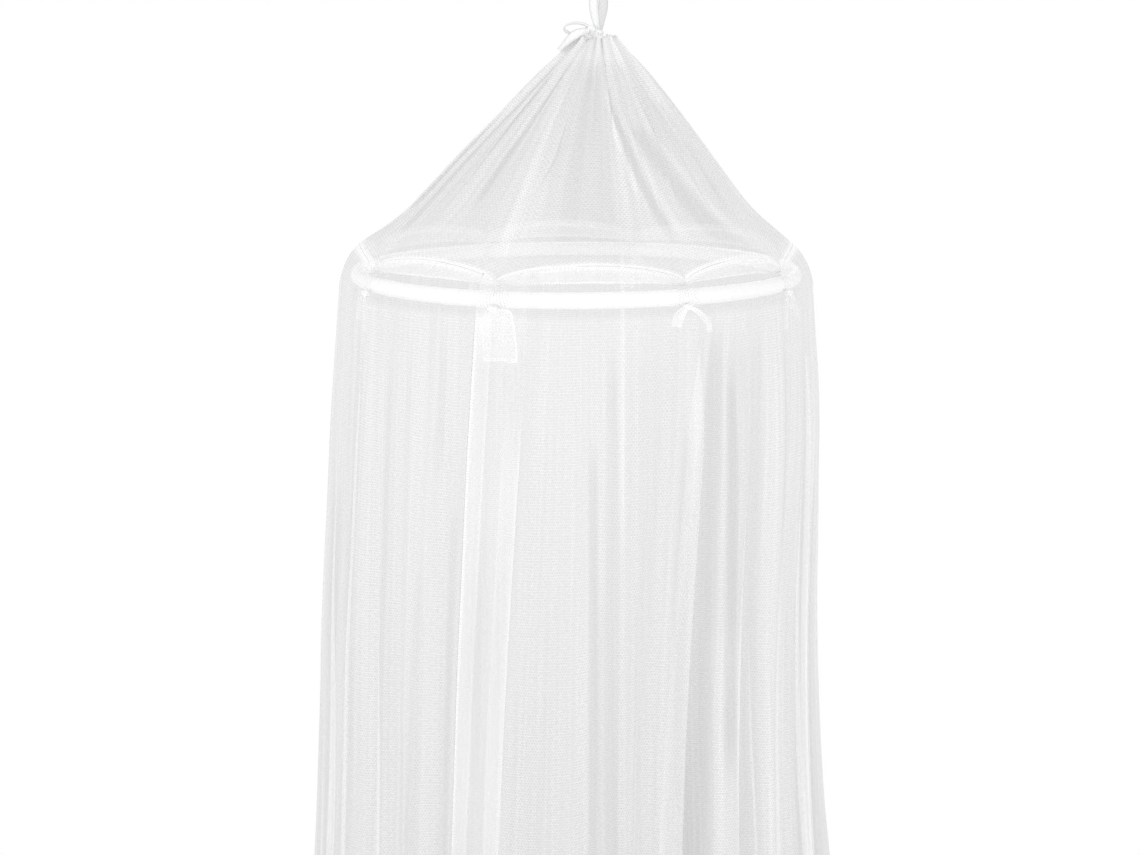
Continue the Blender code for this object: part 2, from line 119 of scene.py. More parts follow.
@dataclass(frozen=True)
class KnittedNet:
    """Warp-knitted polyester net, heat set and left matt.

    The eye sees open cells between fine white threads: rows run level across the cloth and the upright threads
    step sideways from one row to the next. Threads crowd where the net is gathered, hemmed or seen along a
    fold's side, so those places are whiter and less sheer. Cells of such net are about 1.6 mm, too fine to show,
    so they are drawn a little over twice as coarse, at 3.6 mm.
    """

    name: str
    cell_mm: float = 3.6
    row_share: float = 0.94
    thread_share: float = 0.10
    thread: float = 0.36
    haze: float = 0.275
    fleck: float = 0.12
    streak: float = 0.14
    colour: str = "#fdfdfd"
    shadow: str = "#b7b8b9"

    def make(self) -> Any:
        """Makes the net's material.

        Returns:
            The material.
        """
        material, tree, output = new_material(self.name)
        uv = add_node(tree, "UVMap", {"uv_map": "cloth"}, {}).outputs["UV"]
        crowd = add_node(tree, "Attribute", {"attribute_name": "crowd"}, {}).outputs["Fac"]
        depth = add_node(tree, "Attribute", {"attribute_name": "depth"}, {}).outputs["Fac"]
        # Threads wander a little, so the rows aren't ruled lines.
        wander = add_node(tree, "TexNoise", {}, {"Vector": uv, "Scale": 9.0, "Detail": 2.0})
        offset = add_node(
            tree, "VectorMath", {"operation": "MULTIPLY_ADD"},
            {0: wander.outputs["Color"], 1: (0.006, 0.006, 0.0), 2: uv},
        )
        thread = add_node(tree, "Math", {"operation": "MULTIPLY"}, {0: crowd, 1: self.thread_share})
        cells = add_node(
            tree, "TexBrick", {"offset": 0.5, "offset_frequency": 2},
            {
                "Vector": offset.outputs[0], "Scale": 1000.0 / self.cell_mm, "Brick Width": 1.0,
                "Row Height": self.row_share, "Mortar Size": thread.outputs[0], "Mortar Smooth": 0.25,
            },
        )
        haze = add_node(tree, "Math", {"operation": "MULTIPLY"}, {0: crowd, 1: self.haze})
        solid = add_node(tree, "Math", {"operation": "MULTIPLY", "use_clamp": True}, {0: crowd, 1: self.thread})
        cover = add_node(
            tree, "MapRange", {}, {"Value": cells.outputs["Fac"], "To Min": haze.outputs[0], "To Max": solid.outputs[0]}
        )
        # Denser and thinner wales run down the cloth as soft streaks a few millimetres wide.
        stretch = add_node(tree, "VectorMath", {"operation": "MULTIPLY"}, {0: uv, 1: (150.0, 2.2, 1.0)})
        wales = add_node(tree, "TexNoise", {}, {"Vector": stretch.outputs[0], "Scale": 1.0, "Detail": 3.0})
        # Loops of the knit that sit proud, or are pulled tight, fleck it with short light and thin spots.
        dashes = add_node(tree, "VectorMath", {"operation": "MULTIPLY"}, {0: uv, 1: (190.0, 330.0, 1.0)})
        loops = add_node(tree, "TexNoise", {}, {"Vector": dashes.outputs[0], "Scale": 1.0, "Detail": 1.5})
        streak = add_node(
            tree, "MapRange", {}, {"Value": wales.outputs["Fac"], "From Min": 0.3, "From Max": 0.7,
                                   "To Min": 1.0 - self.streak, "To Max": 1.0 + self.streak}
        )
        fleck = add_node(
            tree, "MapRange", {}, {"Value": loops.outputs["Fac"], "From Min": 0.3, "From Max": 0.7,
                                   "To Min": 1.0 - self.fleck, "To Max": 1.0 + self.fleck}
        )
        uneven = add_node(
            tree, "Math", {"operation": "MULTIPLY"}, {0: streak.outputs[0], 1: fleck.outputs[0]}
        )
        alpha = add_node(
            tree, "Math", {"operation": "MULTIPLY", "use_clamp": True},
            {0: cover.outputs[0], 1: uneven.outputs[0]},
        )
        # Painted shade: the depth attribute tints the threads from their colour towards the shadow colour, in the
        # folds, over the roof and between the rim's bunches.
        tint = add_node(
            tree, "Mix", {"data_type": "RGBA"}, {0: depth, 6: linear(self.colour), 7: linear(self.shadow)}
        )
        bump = add_node(
            tree, "Bump", {}, {"Strength": 0.25, "Distance": 0.0004, "Height": cells.outputs["Fac"]}
        )
        body = add_node(
            tree, "BsdfPrincipled", {},
            {
                "Base Color": tint.outputs[2], "Roughness": 0.78, "IOR": 1.54, "Alpha": alpha.outputs[0],
                "Sheen Weight": 0.15, "Sheen Roughness": 0.5, "Normal": bump.outputs[0],
            },
        )
        tree.links.new(body.outputs[0], output.inputs["Surface"])
        return material


@dataclass(frozen=True)
class WovenTape:
    """Narrow cotton-polyester twill tape, bleached white.

    The eye sees a soft opaque band with a fine slanting rib, and painted shade along its two edges where the band
    turns from the light. The rib is about 0.5 mm on real tape and drawn at 1.2 mm so that it shows.
    """

    name: str
    rib_mm: float = 1.2
    colour: str = "#fafafa"
    shade: str = "#f1f2f2"
    painted_edge_shade: str = "#d8d9da"

    def make(self) -> Any:
        """Makes the tape's material.

        Returns:
            The material.
        """
        material, tree, output = new_material(self.name)
        uv = add_node(tree, "UVMap", {"uv_map": "cloth"}, {}).outputs["UV"]
        rib = add_node(
            tree, "TexWave", {"wave_type": "BANDS", "bands_direction": "DIAGONAL"},
            {"Vector": uv, "Scale": 1000.0 / self.rib_mm / 10.0, "Distortion": 0.6, "Detail": 1.0},
        )
        tint = add_node(
            tree, "Mix", {"data_type": "RGBA"},
            {0: rib.outputs["Fac"], 6: linear(self.shade), 7: linear(self.colour)},
        )
        # Painted shade: the depth attribute darkens both edges of the tape towards the edge shade.
        depth = add_node(tree, "Attribute", {"attribute_name": "depth"}, {}).outputs["Fac"]
        tint = add_node(
            tree, "Mix", {"data_type": "RGBA"}, {0: depth, 6: tint.outputs[2], 7: linear(self.painted_edge_shade)}
        )
        bump = add_node(
            tree, "Bump", {}, {"Strength": 0.15, "Distance": 0.0003, "Height": rib.outputs["Fac"]}
        )
        body = add_node(
            tree, "BsdfPrincipled", {},
            {
                "Base Color": tint.outputs[2], "Roughness": 0.7, "Normal": bump.outputs[0],
                "Sheen Weight": 0.2,
            },
        )
        tree.links.new(body.outputs[0], output.inputs["Surface"])
        return material


@dataclass(frozen=True)
class ExtrudedTube:
    """White polyethylene tube, extruded and bent into a ring.

    The eye sees a smooth satin white with a soft highlight along its top, and very faint draw lines that run
    along the tube.
    """

    name: str
    colour: str = "#fdfdfd"
    shade: str = "#f6f7f7"

    def make(self) -> Any:
        """Makes the hoop's material.

        Returns:
            The material.
        """
        material, tree, output = new_material(self.name)
        uv = add_node(tree, "UVMap", {"uv_map": "cloth"}, {}).outputs["UV"]
        stretch = add_node(tree, "VectorMath", {"operation": "MULTIPLY"}, {0: uv, 1: (6.0, 900.0, 1.0)})
        lines = add_node(tree, "TexNoise", {}, {"Vector": stretch.outputs[0], "Scale": 1.0, "Detail": 2.0})
        tint = add_node(
            tree, "Mix", {"data_type": "RGBA"},
            {0: lines.outputs["Fac"], 6: linear(self.shade), 7: linear(self.colour)},
        )
        rough = add_node(
            tree, "MapRange", {}, {"Value": lines.outputs["Fac"], "To Min": 0.30, "To Max": 0.42}
        )
        bump = add_node(
            tree, "Bump", {}, {"Strength": 0.06, "Distance": 0.0003, "Height": lines.outputs["Fac"]}
        )
        body = add_node(
            tree, "BsdfPrincipled", {},
            {
                "Base Color": tint.outputs[2], "Roughness": rough.outputs[0], "IOR": 1.51,
                "Normal": bump.outputs[0],
            },
        )
        tree.links.new(body.outputs[0], output.inputs["Surface"])
        return material


@dataclass(frozen=True)
class PaintedFloor:
    """Pale matt floor paint, rolled, with a faint mottle."""

    name: str
    colour: str = "#e8e8e8"
    shade: str = "#e2e2e2"

    def make(self) -> Any:
        """Makes the floor's material.

        Returns:
            The material.
        """
        material, tree, output = new_material(self.name)
        mottle = add_node(tree, "TexNoise", {}, {"Scale": 12.0, "Detail": 4.0})
        tint = add_node(
            tree, "Mix", {"data_type": "RGBA"},
            {0: mottle.outputs["Fac"], 6: linear(self.shade), 7: linear(self.colour)},
        )
        body = add_node(tree, "BsdfPrincipled", {}, {"Base Color": tint.outputs[2], "Roughness": 0.8})
        tree.links.new(body.outputs[0], output.inputs["Surface"])
        return material


class Slot(Enum):
    """Material slots of the record, one named for each piece."""

    NET = "net"
    NET_FOLDED = "net_folded"
    TAPE = "tape"
    HOOP = "hoop"


# --------------------------------------------------------------------------------------------- mesh tools


@dataclass
class Patch:
    """A grid of points with its flat cloth coordinates and how much the threads crowd at each point.

    Attributes:
        points: Places in metres, as columns by rows by 3.
        cloth: Flat coordinates in metres, as columns by rows by 2.
        crowd: Thread crowding, 1 where the net lies open, as columns by rows.
        ring: True if the last column joins the first.
        depth: Painted shade on the colour, from 0 for none to 1 for the full shade colour, or None for 0 throughout.
    """

    points: Grid
    cloth: Grid
    crowd: Grid
    ring: bool = False
    depth: Grid | None = None


def flat_cloth(points: Grid) -> Grid:
    """Works out flat coordinates from the lengths along a grid's rows and columns.

    Args:
        points: Columns by rows by 3.

    Returns:
        Columns by rows by 2, in metres. A column keeps one place across, so wales run down it.
    """
    across = np.zeros(points.shape[0])
    across[1:] = np.cumsum(np.linalg.norm(np.diff(points, axis=0), axis=2).mean(axis=1))
    along = np.zeros(points.shape[1])
    along[1:] = np.cumsum(np.linalg.norm(np.diff(points, axis=1), axis=2).mean(axis=0))
    return np.stack(np.broadcast_arrays(across[:, None], along[None, :]), axis=2)


def make_piece(name: str, patches: Sequence[Patch], material: Any) -> Any:
    """Makes one mesh object from grids.

    Args:
        name: The piece's name.
        patches: The grids that it is made of.
        material: Its material.

    Returns:
        The new object.
    """
    points, quads, cloth, crowd, depth, start = [], [], [], [], [], 0
    for patch in patches:
        columns, rows = patch.points.shape[:2]
        index = start + np.arange(columns * rows).reshape(columns, rows)
        if patch.ring:
            index = np.concatenate([index, index[:1]])
        quads.append(
            np.stack([index[:-1, :-1], index[:-1, 1:], index[1:, 1:], index[1:, :-1]], axis=2).reshape(-1, 4)
        )
        points.append(patch.points.reshape(-1, 3))
        cloth.append(patch.cloth.reshape(-1, 2))
        crowd.append(patch.crowd.reshape(-1))
        depth.append((np.zeros_like(patch.crowd) if patch.depth is None else patch.depth).reshape(-1))
        start += columns * rows
    corners = np.concatenate(quads)
    mesh = bpy.data.meshes.new(name)
    mesh.from_pydata(np.concatenate(points).tolist(), [], corners.tolist())
    flat = np.concatenate(cloth)[corners.reshape(-1)]
    layer = mesh.uv_layers.new(name="cloth")
    layer.data.foreach_set("uv", flat.astype(np.float32).ravel())
    for label, values in (("crowd", crowd), ("depth", depth)):
        layer = mesh.attributes.new(label, "FLOAT", "POINT")
        layer.data.foreach_set("value", np.concatenate(values).astype(np.float32))
    mesh.materials.append(material)
    mesh.shade_smooth()
    item = bpy.data.objects.new(name, mesh)
    bpy.context.scene.collection.objects.link(item)
    return item


def settle(item: Any, slot: Slot, *nodes: str) -> None:
    """Lets a piece ride with the object in place of its solids.

    Args:
        item: The piece.
        slot: The record's material slot; not used.
        nodes: The solids it stands for.
    """
    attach(item, "root")
    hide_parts(*nodes)


def soft_noise(across: Grid, along: Grid, seed: int, turns: float = 0.0) -> Grid:
    """Smooth random values between -1 and 1 on a lattice with steps of 1.

    Args:
        across: First coordinate.
        along: Second coordinate, which changes slowly.
        seed: Picks the values.
        turns: The first coordinate's length of repeat, or 0.

    Returns:
        The values, in the shape that the coordinates broadcast to.
    """
    across, along = np.broadcast_arrays(across, along)
    size = int(round(turns)) if turns else 4096
    table = np.random.default_rng(seed).uniform(-1.0, 1.0, (size, 64))
    i, j = np.floor(across).astype(int), np.floor(along).astype(int)
    s, t = across - i, along - j
    s, t = s * s * (3 - 2 * s), t * t * (3 - 2 * t)
    a, b = table[i % size, j % 64], table[(i + 1) % size, j % 64]
    c, d = table[i % size, (j + 1) % 64], table[(i + 1) % size, (j + 1) % 64]
    return (a * (1 - s) + b * s) * (1 - t) + (c * (1 - s) + d * s) * t


def ramp(value: Grid, low: float, high: float) -> Grid:
    """Rises smoothly from 0 at low to 1 at high."""
    share = np.clip((value - low) / (high - low), 0.0, 1.0)
    return share * share * (3 - 2 * share)


def curve_through(keys: Sequence[float], values: Sequence[float], at: Grid) -> Grid:
    """Reads a smooth curve through named rows, with the end rows held beyond it.

    Args:
        keys: Places of the rows, rising.
        values: Value at each place.
        at: Where to read.

    Returns:
        The values read.
    """
    k, v = np.asarray(keys, float), np.asarray(values, float)
    at = np.clip(np.asarray(at, float), k[0], k[-1])
    i = np.clip(np.searchsorted(k, at, side="right") - 1, 0, len(k) - 2)
    low, high = np.maximum(i - 1, 0), np.minimum(i + 2, len(k) - 1)
    step = k[i + 1] - k[i]
    start = (v[i + 1] - v[low]) / (k[i + 1] - k[low]) * step
    end = (v[high] - v[i]) / (k[high] - k[i]) * step
    s = (at - k[i]) / step
    return (
        v[i] * (2 * s**3 - 3 * s**2 + 1)
        + start * (s**3 - 2 * s**2 + s)
        + v[i + 1] * (3 * s**2 - 2 * s**3)
        + end * (s**3 - s**2)
    )


# ------------------------------------------------------------------------------------------- the net's form


class Tie(NamedTuple):
    """A tie by its angle, the width of its turn round the tube, and how its two loose ends hang."""

    angle: float
    wrap: float
    left_out: float
    left_drop: float
    left_width: float
    right_out: float
    right_drop: float
    right_width: float
    density: float = 0.8


class Fold(NamedTuple):
    """A fold that stands out (positive depth) or lies in, from the drop where it starts."""

    angle: float
    width: float
    depth: float
    start: float


class Sway(NamedTuple):
    """How far the fold that starts at an angle leans sideways by the time it reaches the hem, in degrees."""

    angle: float
    lean: float


class Girth(NamedTuple):
    """The skirt's radius on the left and on the right at a drop."""

    drop: float
    left: float
    right: float


class Tuck(NamedTuple):
    """A fold laid flat on itself, three layers deep, between two drops or two shares of the roof."""

    angle: float
    width: float
    lift: float
    start: float
    end: float


class Band(NamedTuple):
    """A streak down the skirt: its half width, how it moves and widens, and its change of crowding and of painted
    shade.
    """

    angle: float
    width: float
    move: float
    widen: float
    crowd: float
    depth: float
    start: float
    end: float


class Crease(NamedTuple):
    """A streak down the roof: its half width, how it drifts and widens, and its change of crowding and of painted
    shade.
    """

    angle: float
    drift: float
    width: float
    widen: float
    crowd: float
    depth: float
    start: float
    end: float


class Crossing(NamedTuple):
    """Radius and height of the points where the net crosses the hoop."""

    seam: tuple[float, float]
    shoulder: tuple[float, float]
    side: tuple[float, float]
    strip_top: tuple[float, float]
    strip_foot: tuple[float, float]


@dataclass
class NetForm:
    """The shape in which the net hangs: its outline, ties, folds and lean.

    The hoop's place and sizes come from the frame, and the folds repeat those of the plain solids.
    """

    hoop_x: float
    hoop_z: float
    hoop_radius: float
    tube_radius: float
    rim_height: float
    rim_shift: float
    hem_drop: float
    at_tie: Crossing = Crossing(
        (0.2940, 0.0172), (0.3090, 0.0120), (0.3130, -0.012), (0.2915, 0.0150), (0.2810, 0.0128)
    )
    at_bow: Crossing = Crossing(
        (0.2870, 0.0400), (0.3100, 0.0200), (0.3140, -0.012), (0.2848, 0.0382), (0.2835, 0.0195)
    )
    bow_sharpness: float = 0.55
    ties: tuple[Tie, ...] = (
        Tie(-152.6, 0.026, -0.016, 0.040, 0.014, 0.014, 0.052, 0.012),
        Tie(-107.0, 0.030, -0.010, 0.054, 0.016, 0.018, 0.036, 0.010),
        Tie(-61.0, 0.028, -0.018, 0.034, 0.012, 0.010, 0.046, 0.014),
        Tie(-19.0, 0.046, -0.012, 0.030, 0.012, 0.011, 0.062, 0.044),
        Tie(26.0, 0.034, -0.018, 0.022, 0.014, 0.026, 0.030, 0.007, 1.7),
        Tie(62.0, 0.028, -0.014, 0.044, 0.012, 0.016, 0.032, 0.012),
        Tie(105.0, 0.030, -0.012, 0.050, 0.014, 0.014, 0.042, 0.012),
        Tie(162.5, 0.026, -0.016, 0.038, 0.012, 0.012, 0.050, 0.014),
    )
    girths: tuple[Girth, ...] = (
        Girth(0.012, 0.3135, 0.3135),
        Girth(0.04, 0.3165, 0.3160),
        Girth(0.175, 0.3285, 0.3265),
        Girth(0.32, 0.3390, 0.3285),
        Girth(0.46, 0.3500, 0.3295),
        Girth(0.61, 0.3565, 0.3360),
        Girth(0.76, 0.3640, 0.3470),
        Girth(0.84, 0.3695, 0.3560),
        Girth(1.35, 0.4050, 0.4010),
        Girth(2.00, 0.4480, 0.4480),
    )
    sways: tuple[Sway, ...] = (
        Sway(-200.0, 0.0),
        Sway(-90.0, 0.0),
        Sway(-62.0, 2.0),
        Sway(-40.0, -1.5),
        Sway(-22.0, -4.5),
        Sway(-10.0, -8.0),
        Sway(4.0, 0.5),
        Sway(16.0, -5.0),
        Sway(27.0, -11.0),
        Sway(32.0, -12.5),
        Sway(38.0, -8.5),
        Sway(45.0, -5.5),
        Sway(51.0, -7.0),
        Sway(60.0, -5.5),
        Sway(75.0, -3.5),
        Sway(95.0, 0.0),
        Sway(200.0, 0.0),
    )
    sway_reach: float = 0.55
    fold_reach: float = 0.34
    fold_growth: float = 0.28
    folds: tuple[Fold, ...] = (
        Fold(-183.0, 4.0, -0.020, 0.10),
        Fold(-175.0, 4.6, 0.010, 0.12),
        Fold(-164.0, 4.2, -0.024, 0.06),
        Fold(-152.0, 5.0, 0.010, 0.08),
        Fold(-140.0, 4.4, -0.018, 0.14),
        Fold(-128.0, 5.0, 0.012, 0.10),
        Fold(-116.0, 4.2, -0.026, 0.08),
        Fold(-104.0, 4.6, 0.008, 0.10),
        Fold(-93.0, 4.0, -0.014, 0.16),
        Fold(-83.0, 4.0, 0.005, 0.08),
        Fold(-74.0, 3.4, -0.018, 0.10),
        Fold(-63.5, 3.0, -0.012, 0.04),
        Fold(-56.0, 3.4, 0.010, 0.06),
        Fold(-49.0, 2.8, -0.016, 0.04),
        Fold(-40.0, 3.0, -0.014, 0.03),
        Fold(-34.0, 3.2, 0.009, 0.06),
        Fold(-28.0, 2.4, -0.012, 0.05),
        Fold(-20.5, 2.6, 0.006, 0.02),
        Fold(-13.0, 3.4, -0.006, 0.10),
        Fold(-4.0, 3.6, 0.006, 0.10),
        Fold(4.0, 3.0, -0.014, 0.05),
        Fold(10.5, 4.0, 0.008, 0.10),
        Fold(19.0, 4.0, -0.010, 0.15),
        Fold(27.0, 3.2, 0.014, 0.00),
        Fold(32.5, 3.0, -0.034, 0.00),
        Fold(39.5, 3.0, 0.010, 0.04),
        Fold(44.0, 2.6, -0.022, 0.02),
        Fold(51.5, 3.4, 0.012, 0.02),
        Fold(59.0, 3.2, -0.018, 0.06),
        Fold(68.0, 4.4, 0.010, 0.10),
        Fold(77.0, 4.0, -0.020, 0.12),
        Fold(88.0, 4.6, 0.006, 0.08),
        Fold(98.0, 4.0, -0.024, 0.10),
        Fold(110.0, 5.0, 0.012, 0.05),
        Fold(122.0, 4.6, -0.022, 0.16),
        Fold(134.0, 5.0, 0.010, 0.10),
        Fold(146.0, 4.4, -0.026, 0.08),
        Fold(156.5, 3.8, 0.010, 0.12),
    )

    def bow(self, angle: Grid) -> Grid:
        """How far the seam is bowed up: 0 at a tie and 1 halfway between two.

        Args:
            angle: Angles at the hoop.

        Returns:
            The bow at each angle.
        """
        knots = np.array([tie.angle for tie in self.ties] + [self.ties[0].angle + 360.0])
        turned = (np.asarray(angle, float) - knots[0]) % 360.0 + knots[0]
        i = np.clip(np.searchsorted(knots, turned, side="right") - 1, 0, len(self.ties) - 1)
        share = (turned - knots[i]) / (knots[i + 1] - knots[i])
        return np.sin(np.pi * share) ** self.bow_sharpness

    def crossing(self, angle: Grid, part: str) -> tuple[Grid, Grid]:
        """Reads one of the points where the net crosses the hoop.

        Args:
            angle: Angles at the hoop.
            part: Name of the point, a field of Crossing.

        Returns:
            Its radius and its height.
        """
        share = self.bow(angle)
        low, high = getattr(self.at_tie, part), getattr(self.at_bow, part)
        return low[0] + (high[0] - low[0]) * share, low[1] + (high[1] - low[1]) * share

    def sway(self, angle: Grid, drop: Grid) -> Grid:
        """Sideways lean, in degrees, of the fold that starts at an angle."""
        full = curve_through([row.angle for row in self.sways], [row.lean for row in self.sways], angle)
        return full * (1.0 - np.exp(-((np.maximum(drop, 0.0) / self.sway_reach) ** 1.3)))

    def fold_depth(self, angle: Grid, drop: Grid) -> Grid:
        """How far the skirt stands out or lies in, at an angle taken at the hoop.

        Args:
            angle: Angles at the hoop.
            drop: Drops below it.

        Returns:
            Depths in metres.
        """
        total = np.zeros(np.broadcast_shapes(np.shape(angle), np.shape(drop)))
        for fold in self.folds:
            below = np.maximum(drop - fold.start, 0.0)
            opened = (1.0 - np.exp(-below / self.fold_reach)) * (1.0 + self.fold_growth * drop)
            aside = (angle - fold.angle + 180.0) % 360.0 - 180.0
            total = total + fold.depth * opened * np.exp(-((aside / fold.width) ** 2))
        return total

    def girth(self, angle: Grid, drop: Grid) -> Grid:
        """Reads the skirt's outline, which bells out more to the left than to the right.

        Args:
            angle: Angles at the hoop.
            drop: Drops below it.

        Returns:
            The radii in metres.
        """
        drops = [row.drop for row in self.girths]
        left = curve_through(drops, [row.left for row in self.girths], drop)
        right = curve_through(drops, [row.right for row in self.girths], drop)
        return (left + right) / 2 + (right - left) / 2 * np.sin(np.radians(angle))

    def place(self, angle: Grid, radius: Grid, height: Grid) -> Grid:
        """Turns places given round the hoop into points.

        Args:
            angle: Angles at the hoop.
            radius: Radii about its middle.
            height: Heights above its plane.

        Returns:
            The points, in the frame.
        """
        turn = np.radians(angle)
        return np.stack(
            np.broadcast_arrays(
                self.hoop_x + radius * np.sin(turn), -radius * np.cos(turn), self.hoop_z + height
            ),
            axis=-1,
        )


def laid(angle: Grid, centre: float, width: Grid, strength: Grid) -> tuple[Grid, Grid]:
    """Sideways and outward moves that lay a fold flat on itself.

    Args:
        angle: Angles at the hoop.
        centre: The fold's middle.
        width: Its half width in degrees.
        strength: From 0, no fold, to 1, three full layers.

    Returns:
        The sideways move in degrees and the outward move as a share of the lift.
    """
    x = ((angle - centre + 180.0) % 360.0 - 180.0) / width
    aside = -3.0 * strength * width * x * np.exp(-(x**2))
    outward = -2.0 * strength * x * np.exp(-(x**2) / 1.5)
    return aside, outward


def crowding(radius: Grid, angle: Grid, gain: float) -> Grid:
    """Thread crowding on the sides of folds, seen across the hanging net.

    Args:
        radius: Columns by rows.
        angle: Columns by rows, in degrees.
        gain: Crowding added where the net turns edge on.

    Returns:
        The crowding, 1 where the net faces outward.
    """
    rise = np.gradient(radius, axis=0)
    run = np.gradient(np.radians(angle), axis=0) * radius
    steep = np.abs(rise) / np.sqrt(rise**2 + run**2 + 1e-12)
    return 1.0 + gain * steep**1.5


# ---------------------------------------------------------------------------------------------- the pieces


@dataclass
class Skirt:
    """One net panel of the skirt, with its front hem, its bottom hem and its edge of the back seam."""

    form: NetForm
    name: str
    first: float
    last: float
    lapped: bool
    hem_first: bool
    columns: int = 520
    lap: float = 0.0045
    lap_from: float = -10.0
    lap_fade: float = 12.0
    hem: float = 0.020
    bottom_hem: float = 0.025
    turn_under: float = 0.0010
    edge_width: float = 0.0022
    edge_crowd: float = 1.6
    edge_start: float = 0.0
    edge_fade: float = 0.6
    taut_share: float = 0.55
    flank_gain: float = 0.12
    side_loss: float = 0.15
    side_calm: float = 0.5
    hem_wave: float = 0.006
    pleat_period: float = 2.2
    fine_period: float = 0.9
    pleat_depth: float = 0.0034
    fine_depth: float = 0.0012
    shoulder_rows: int = 12
    rows: int = 74
    tucks: tuple[Tuck, ...] = (
        Tuck(27.6, 1.9, 0.0034, 0.00, 9.0),
        Tuck(67.0, 1.6, 0.0026, 0.02, 9.0),
        Tuck(-56.0, 1.6, 0.0024, 0.02, 9.0),
    )
    # Streaks that follow the folds: a crowd below 0 thins the net, and a depth above 0 paints shade on it.
    bands: tuple[Band, ...] = (
        Band(-58.5, 0.9, 0.0, 0.6, -0.06, 0.20, 0.02, 3.0),
        Band(-96.0, 7.5, 0.0, 0.0, -0.32, 0.00, 0.25, 3.0),
        Band(-71.0, 5.2, 0.0, 0.0, -0.46, 0.00, 0.25, 3.0),
        Band(-59.0, 4.6, 0.0, 0.0, -0.50, 0.00, 0.25, 3.0),
        Band(-48.5, 1.0, 0.0, 0.4, 0.15, 0.00, 0.05, 3.0),
        Band(-45.0, 0.7, 0.0, 0.4, -0.06, 0.18, 0.06, 3.0),
        Band(-39.0, 0.8, 0.0, 0.4, -0.06, 0.22, 0.02, 3.0),
        Band(-36.0, 0.8, 0.0, 0.4, 0.15, 0.00, 0.10, 3.0),
        Band(-33.0, 1.1, 0.0, 0.4, -0.04, 0.14, 0.30, 3.0),
        Band(-29.5, 0.9, 0.0, 0.4, 0.00, 0.30, 0.01, 0.25),
        Band(-25.0, 0.8, 0.0, 0.4, -0.06, 0.24, 0.22, 3.0),
        Band(-16.0, 6.0, 0.0, 0.0, -0.60, 0.00, 0.01, 3.0),
        Band(3.4, 0.7, 0.0, 0.5, -0.10, 0.35, 0.14, 3.0),
        Band(7.3, 1.0, 0.0, 0.5, -0.10, 0.40, 0.03, 3.0),
        Band(16.0, 7.0, 0.0, 0.0, 0.00, 0.16, 0.01, 3.0),
        Band(24.3, 0.6, 0.4, 0.5, -0.10, 0.35, 0.12, 3.0),
        Band(32.4, 1.3, 1.2, 1.4, -0.42, 0.85, 0.01, 3.0),
        Band(35.0, 0.8, 4.2, 0.4, -0.25, 0.60, 0.06, 0.62),
        Band(35.0, 0.8, 4.2, 0.4, 0.10, 0.08, 0.50, 3.0),
        Band(33.6, 0.5, 3.9, 0.4, 0.14, 0.00, 0.18, 3.0),
        Band(27.8, 2.0, 0.0, 0.3, -0.30, 0.22, 0.02, 3.0),
        Band(37.6, 2.4, 1.6, 0.3, -0.25, 0.25, 0.01, 0.46),
        Band(5.3, 0.8, 0.0, 0.3, -0.15, 0.08, 0.30, 3.0),
        Band(36.6, 0.7, 5.0, 0.6, 0.08, 0.00, 0.06, 3.0),
        Band(44.0, 1.7, 1.3, 0.5, -0.06, 0.30, 0.02, 3.0),
        Band(50.0, 0.5, 0.0, 0.4, 0.35, 0.00, 0.06, 0.80),
        Band(54.0, 0.8, 0.6, 0.4, -0.10, 0.35, 0.03, 3.0),
        Band(58.0, 0.9, 1.0, 0.4, 0.12, 0.00, 0.15, 3.0),
        Band(64.0, 1.0, 0.0, 0.4, -0.10, 0.25, 0.05, 3.0),
        Band(56.0, 4.0, 0.0, 0.0, -0.16, 0.00, 0.25, 3.0),
        Band(75.0, 6.0, 0.0, 0.0, -0.48, 0.00, 0.25, 3.0),
        Band(94.0, 3.0, 0.0, 0.0, -0.40, 0.00, 0.25, 3.0),
    )
    calm_angles: tuple[float, ...] = (-200, -95, -60, -30, -12, 8, 22, 36, 80, 120, 200)
    calm_shares: tuple[float, ...] = (0.8, 0.9, 1.0, 0.9, 0.35, 0.35, 0.5, 1.0, 1.0, 0.8, 0.8)

    def column_plan(self) -> tuple[Grid, Grid, Grid, Grid]:
        """Lays out the columns, with the legs turned under at the hem and at the back seam.

        Returns:
            For each column its angle, its depth under the face and its distances from the hem and the seam.
        """
        angle = np.linspace(self.first, self.last, self.columns)
        under = np.zeros(self.columns)
        degrees = math.degrees(self.hem / self.form.hoop_radius)
        leg = np.linspace(0.0, 1.0, 12)[1:]
        if self.hem_first:
            angle = np.concatenate([(self.first + degrees * leg)[::-1], angle])
            under = np.concatenate([np.ones(len(leg)), under])
            edge = self.first
        else:
            angle = np.concatenate([angle, self.last - degrees * leg])
            under = np.concatenate([under, np.ones(len(leg))])
            edge = self.last
        metre = math.radians(1.0) * self.form.hoop_radius
        seam = self.last if self.hem_first else self.first
        return angle, under, np.abs(angle - edge) * metre, np.abs(angle - seam) * metre

    def row_plan(self) -> tuple[Grid, Grid, Grid]:
        """Lays out the rows.

        Returns:
            For each row its step over the shoulder, its drop below the hoop and its depth under the face.
        """
        step = np.concatenate([np.linspace(0.0, 1.0, self.shoulder_rows), np.ones(self.rows)])
        share = np.linspace(0.0, 1.0, self.rows + 1)[1:]
        drop = 0.012 + (self.form.hem_drop - 0.012) * share**1.25
        drop = np.concatenate([np.zeros(self.shoulder_rows), drop])
        under = np.zeros(len(drop))
        turned = self.form.hem_drop - np.linspace(0.0, self.bottom_hem, 6)[1:]
        return (
            np.concatenate([step, np.ones(5)]),
            np.concatenate([drop, turned]),
            np.concatenate([under, np.ones(5)]),
        )

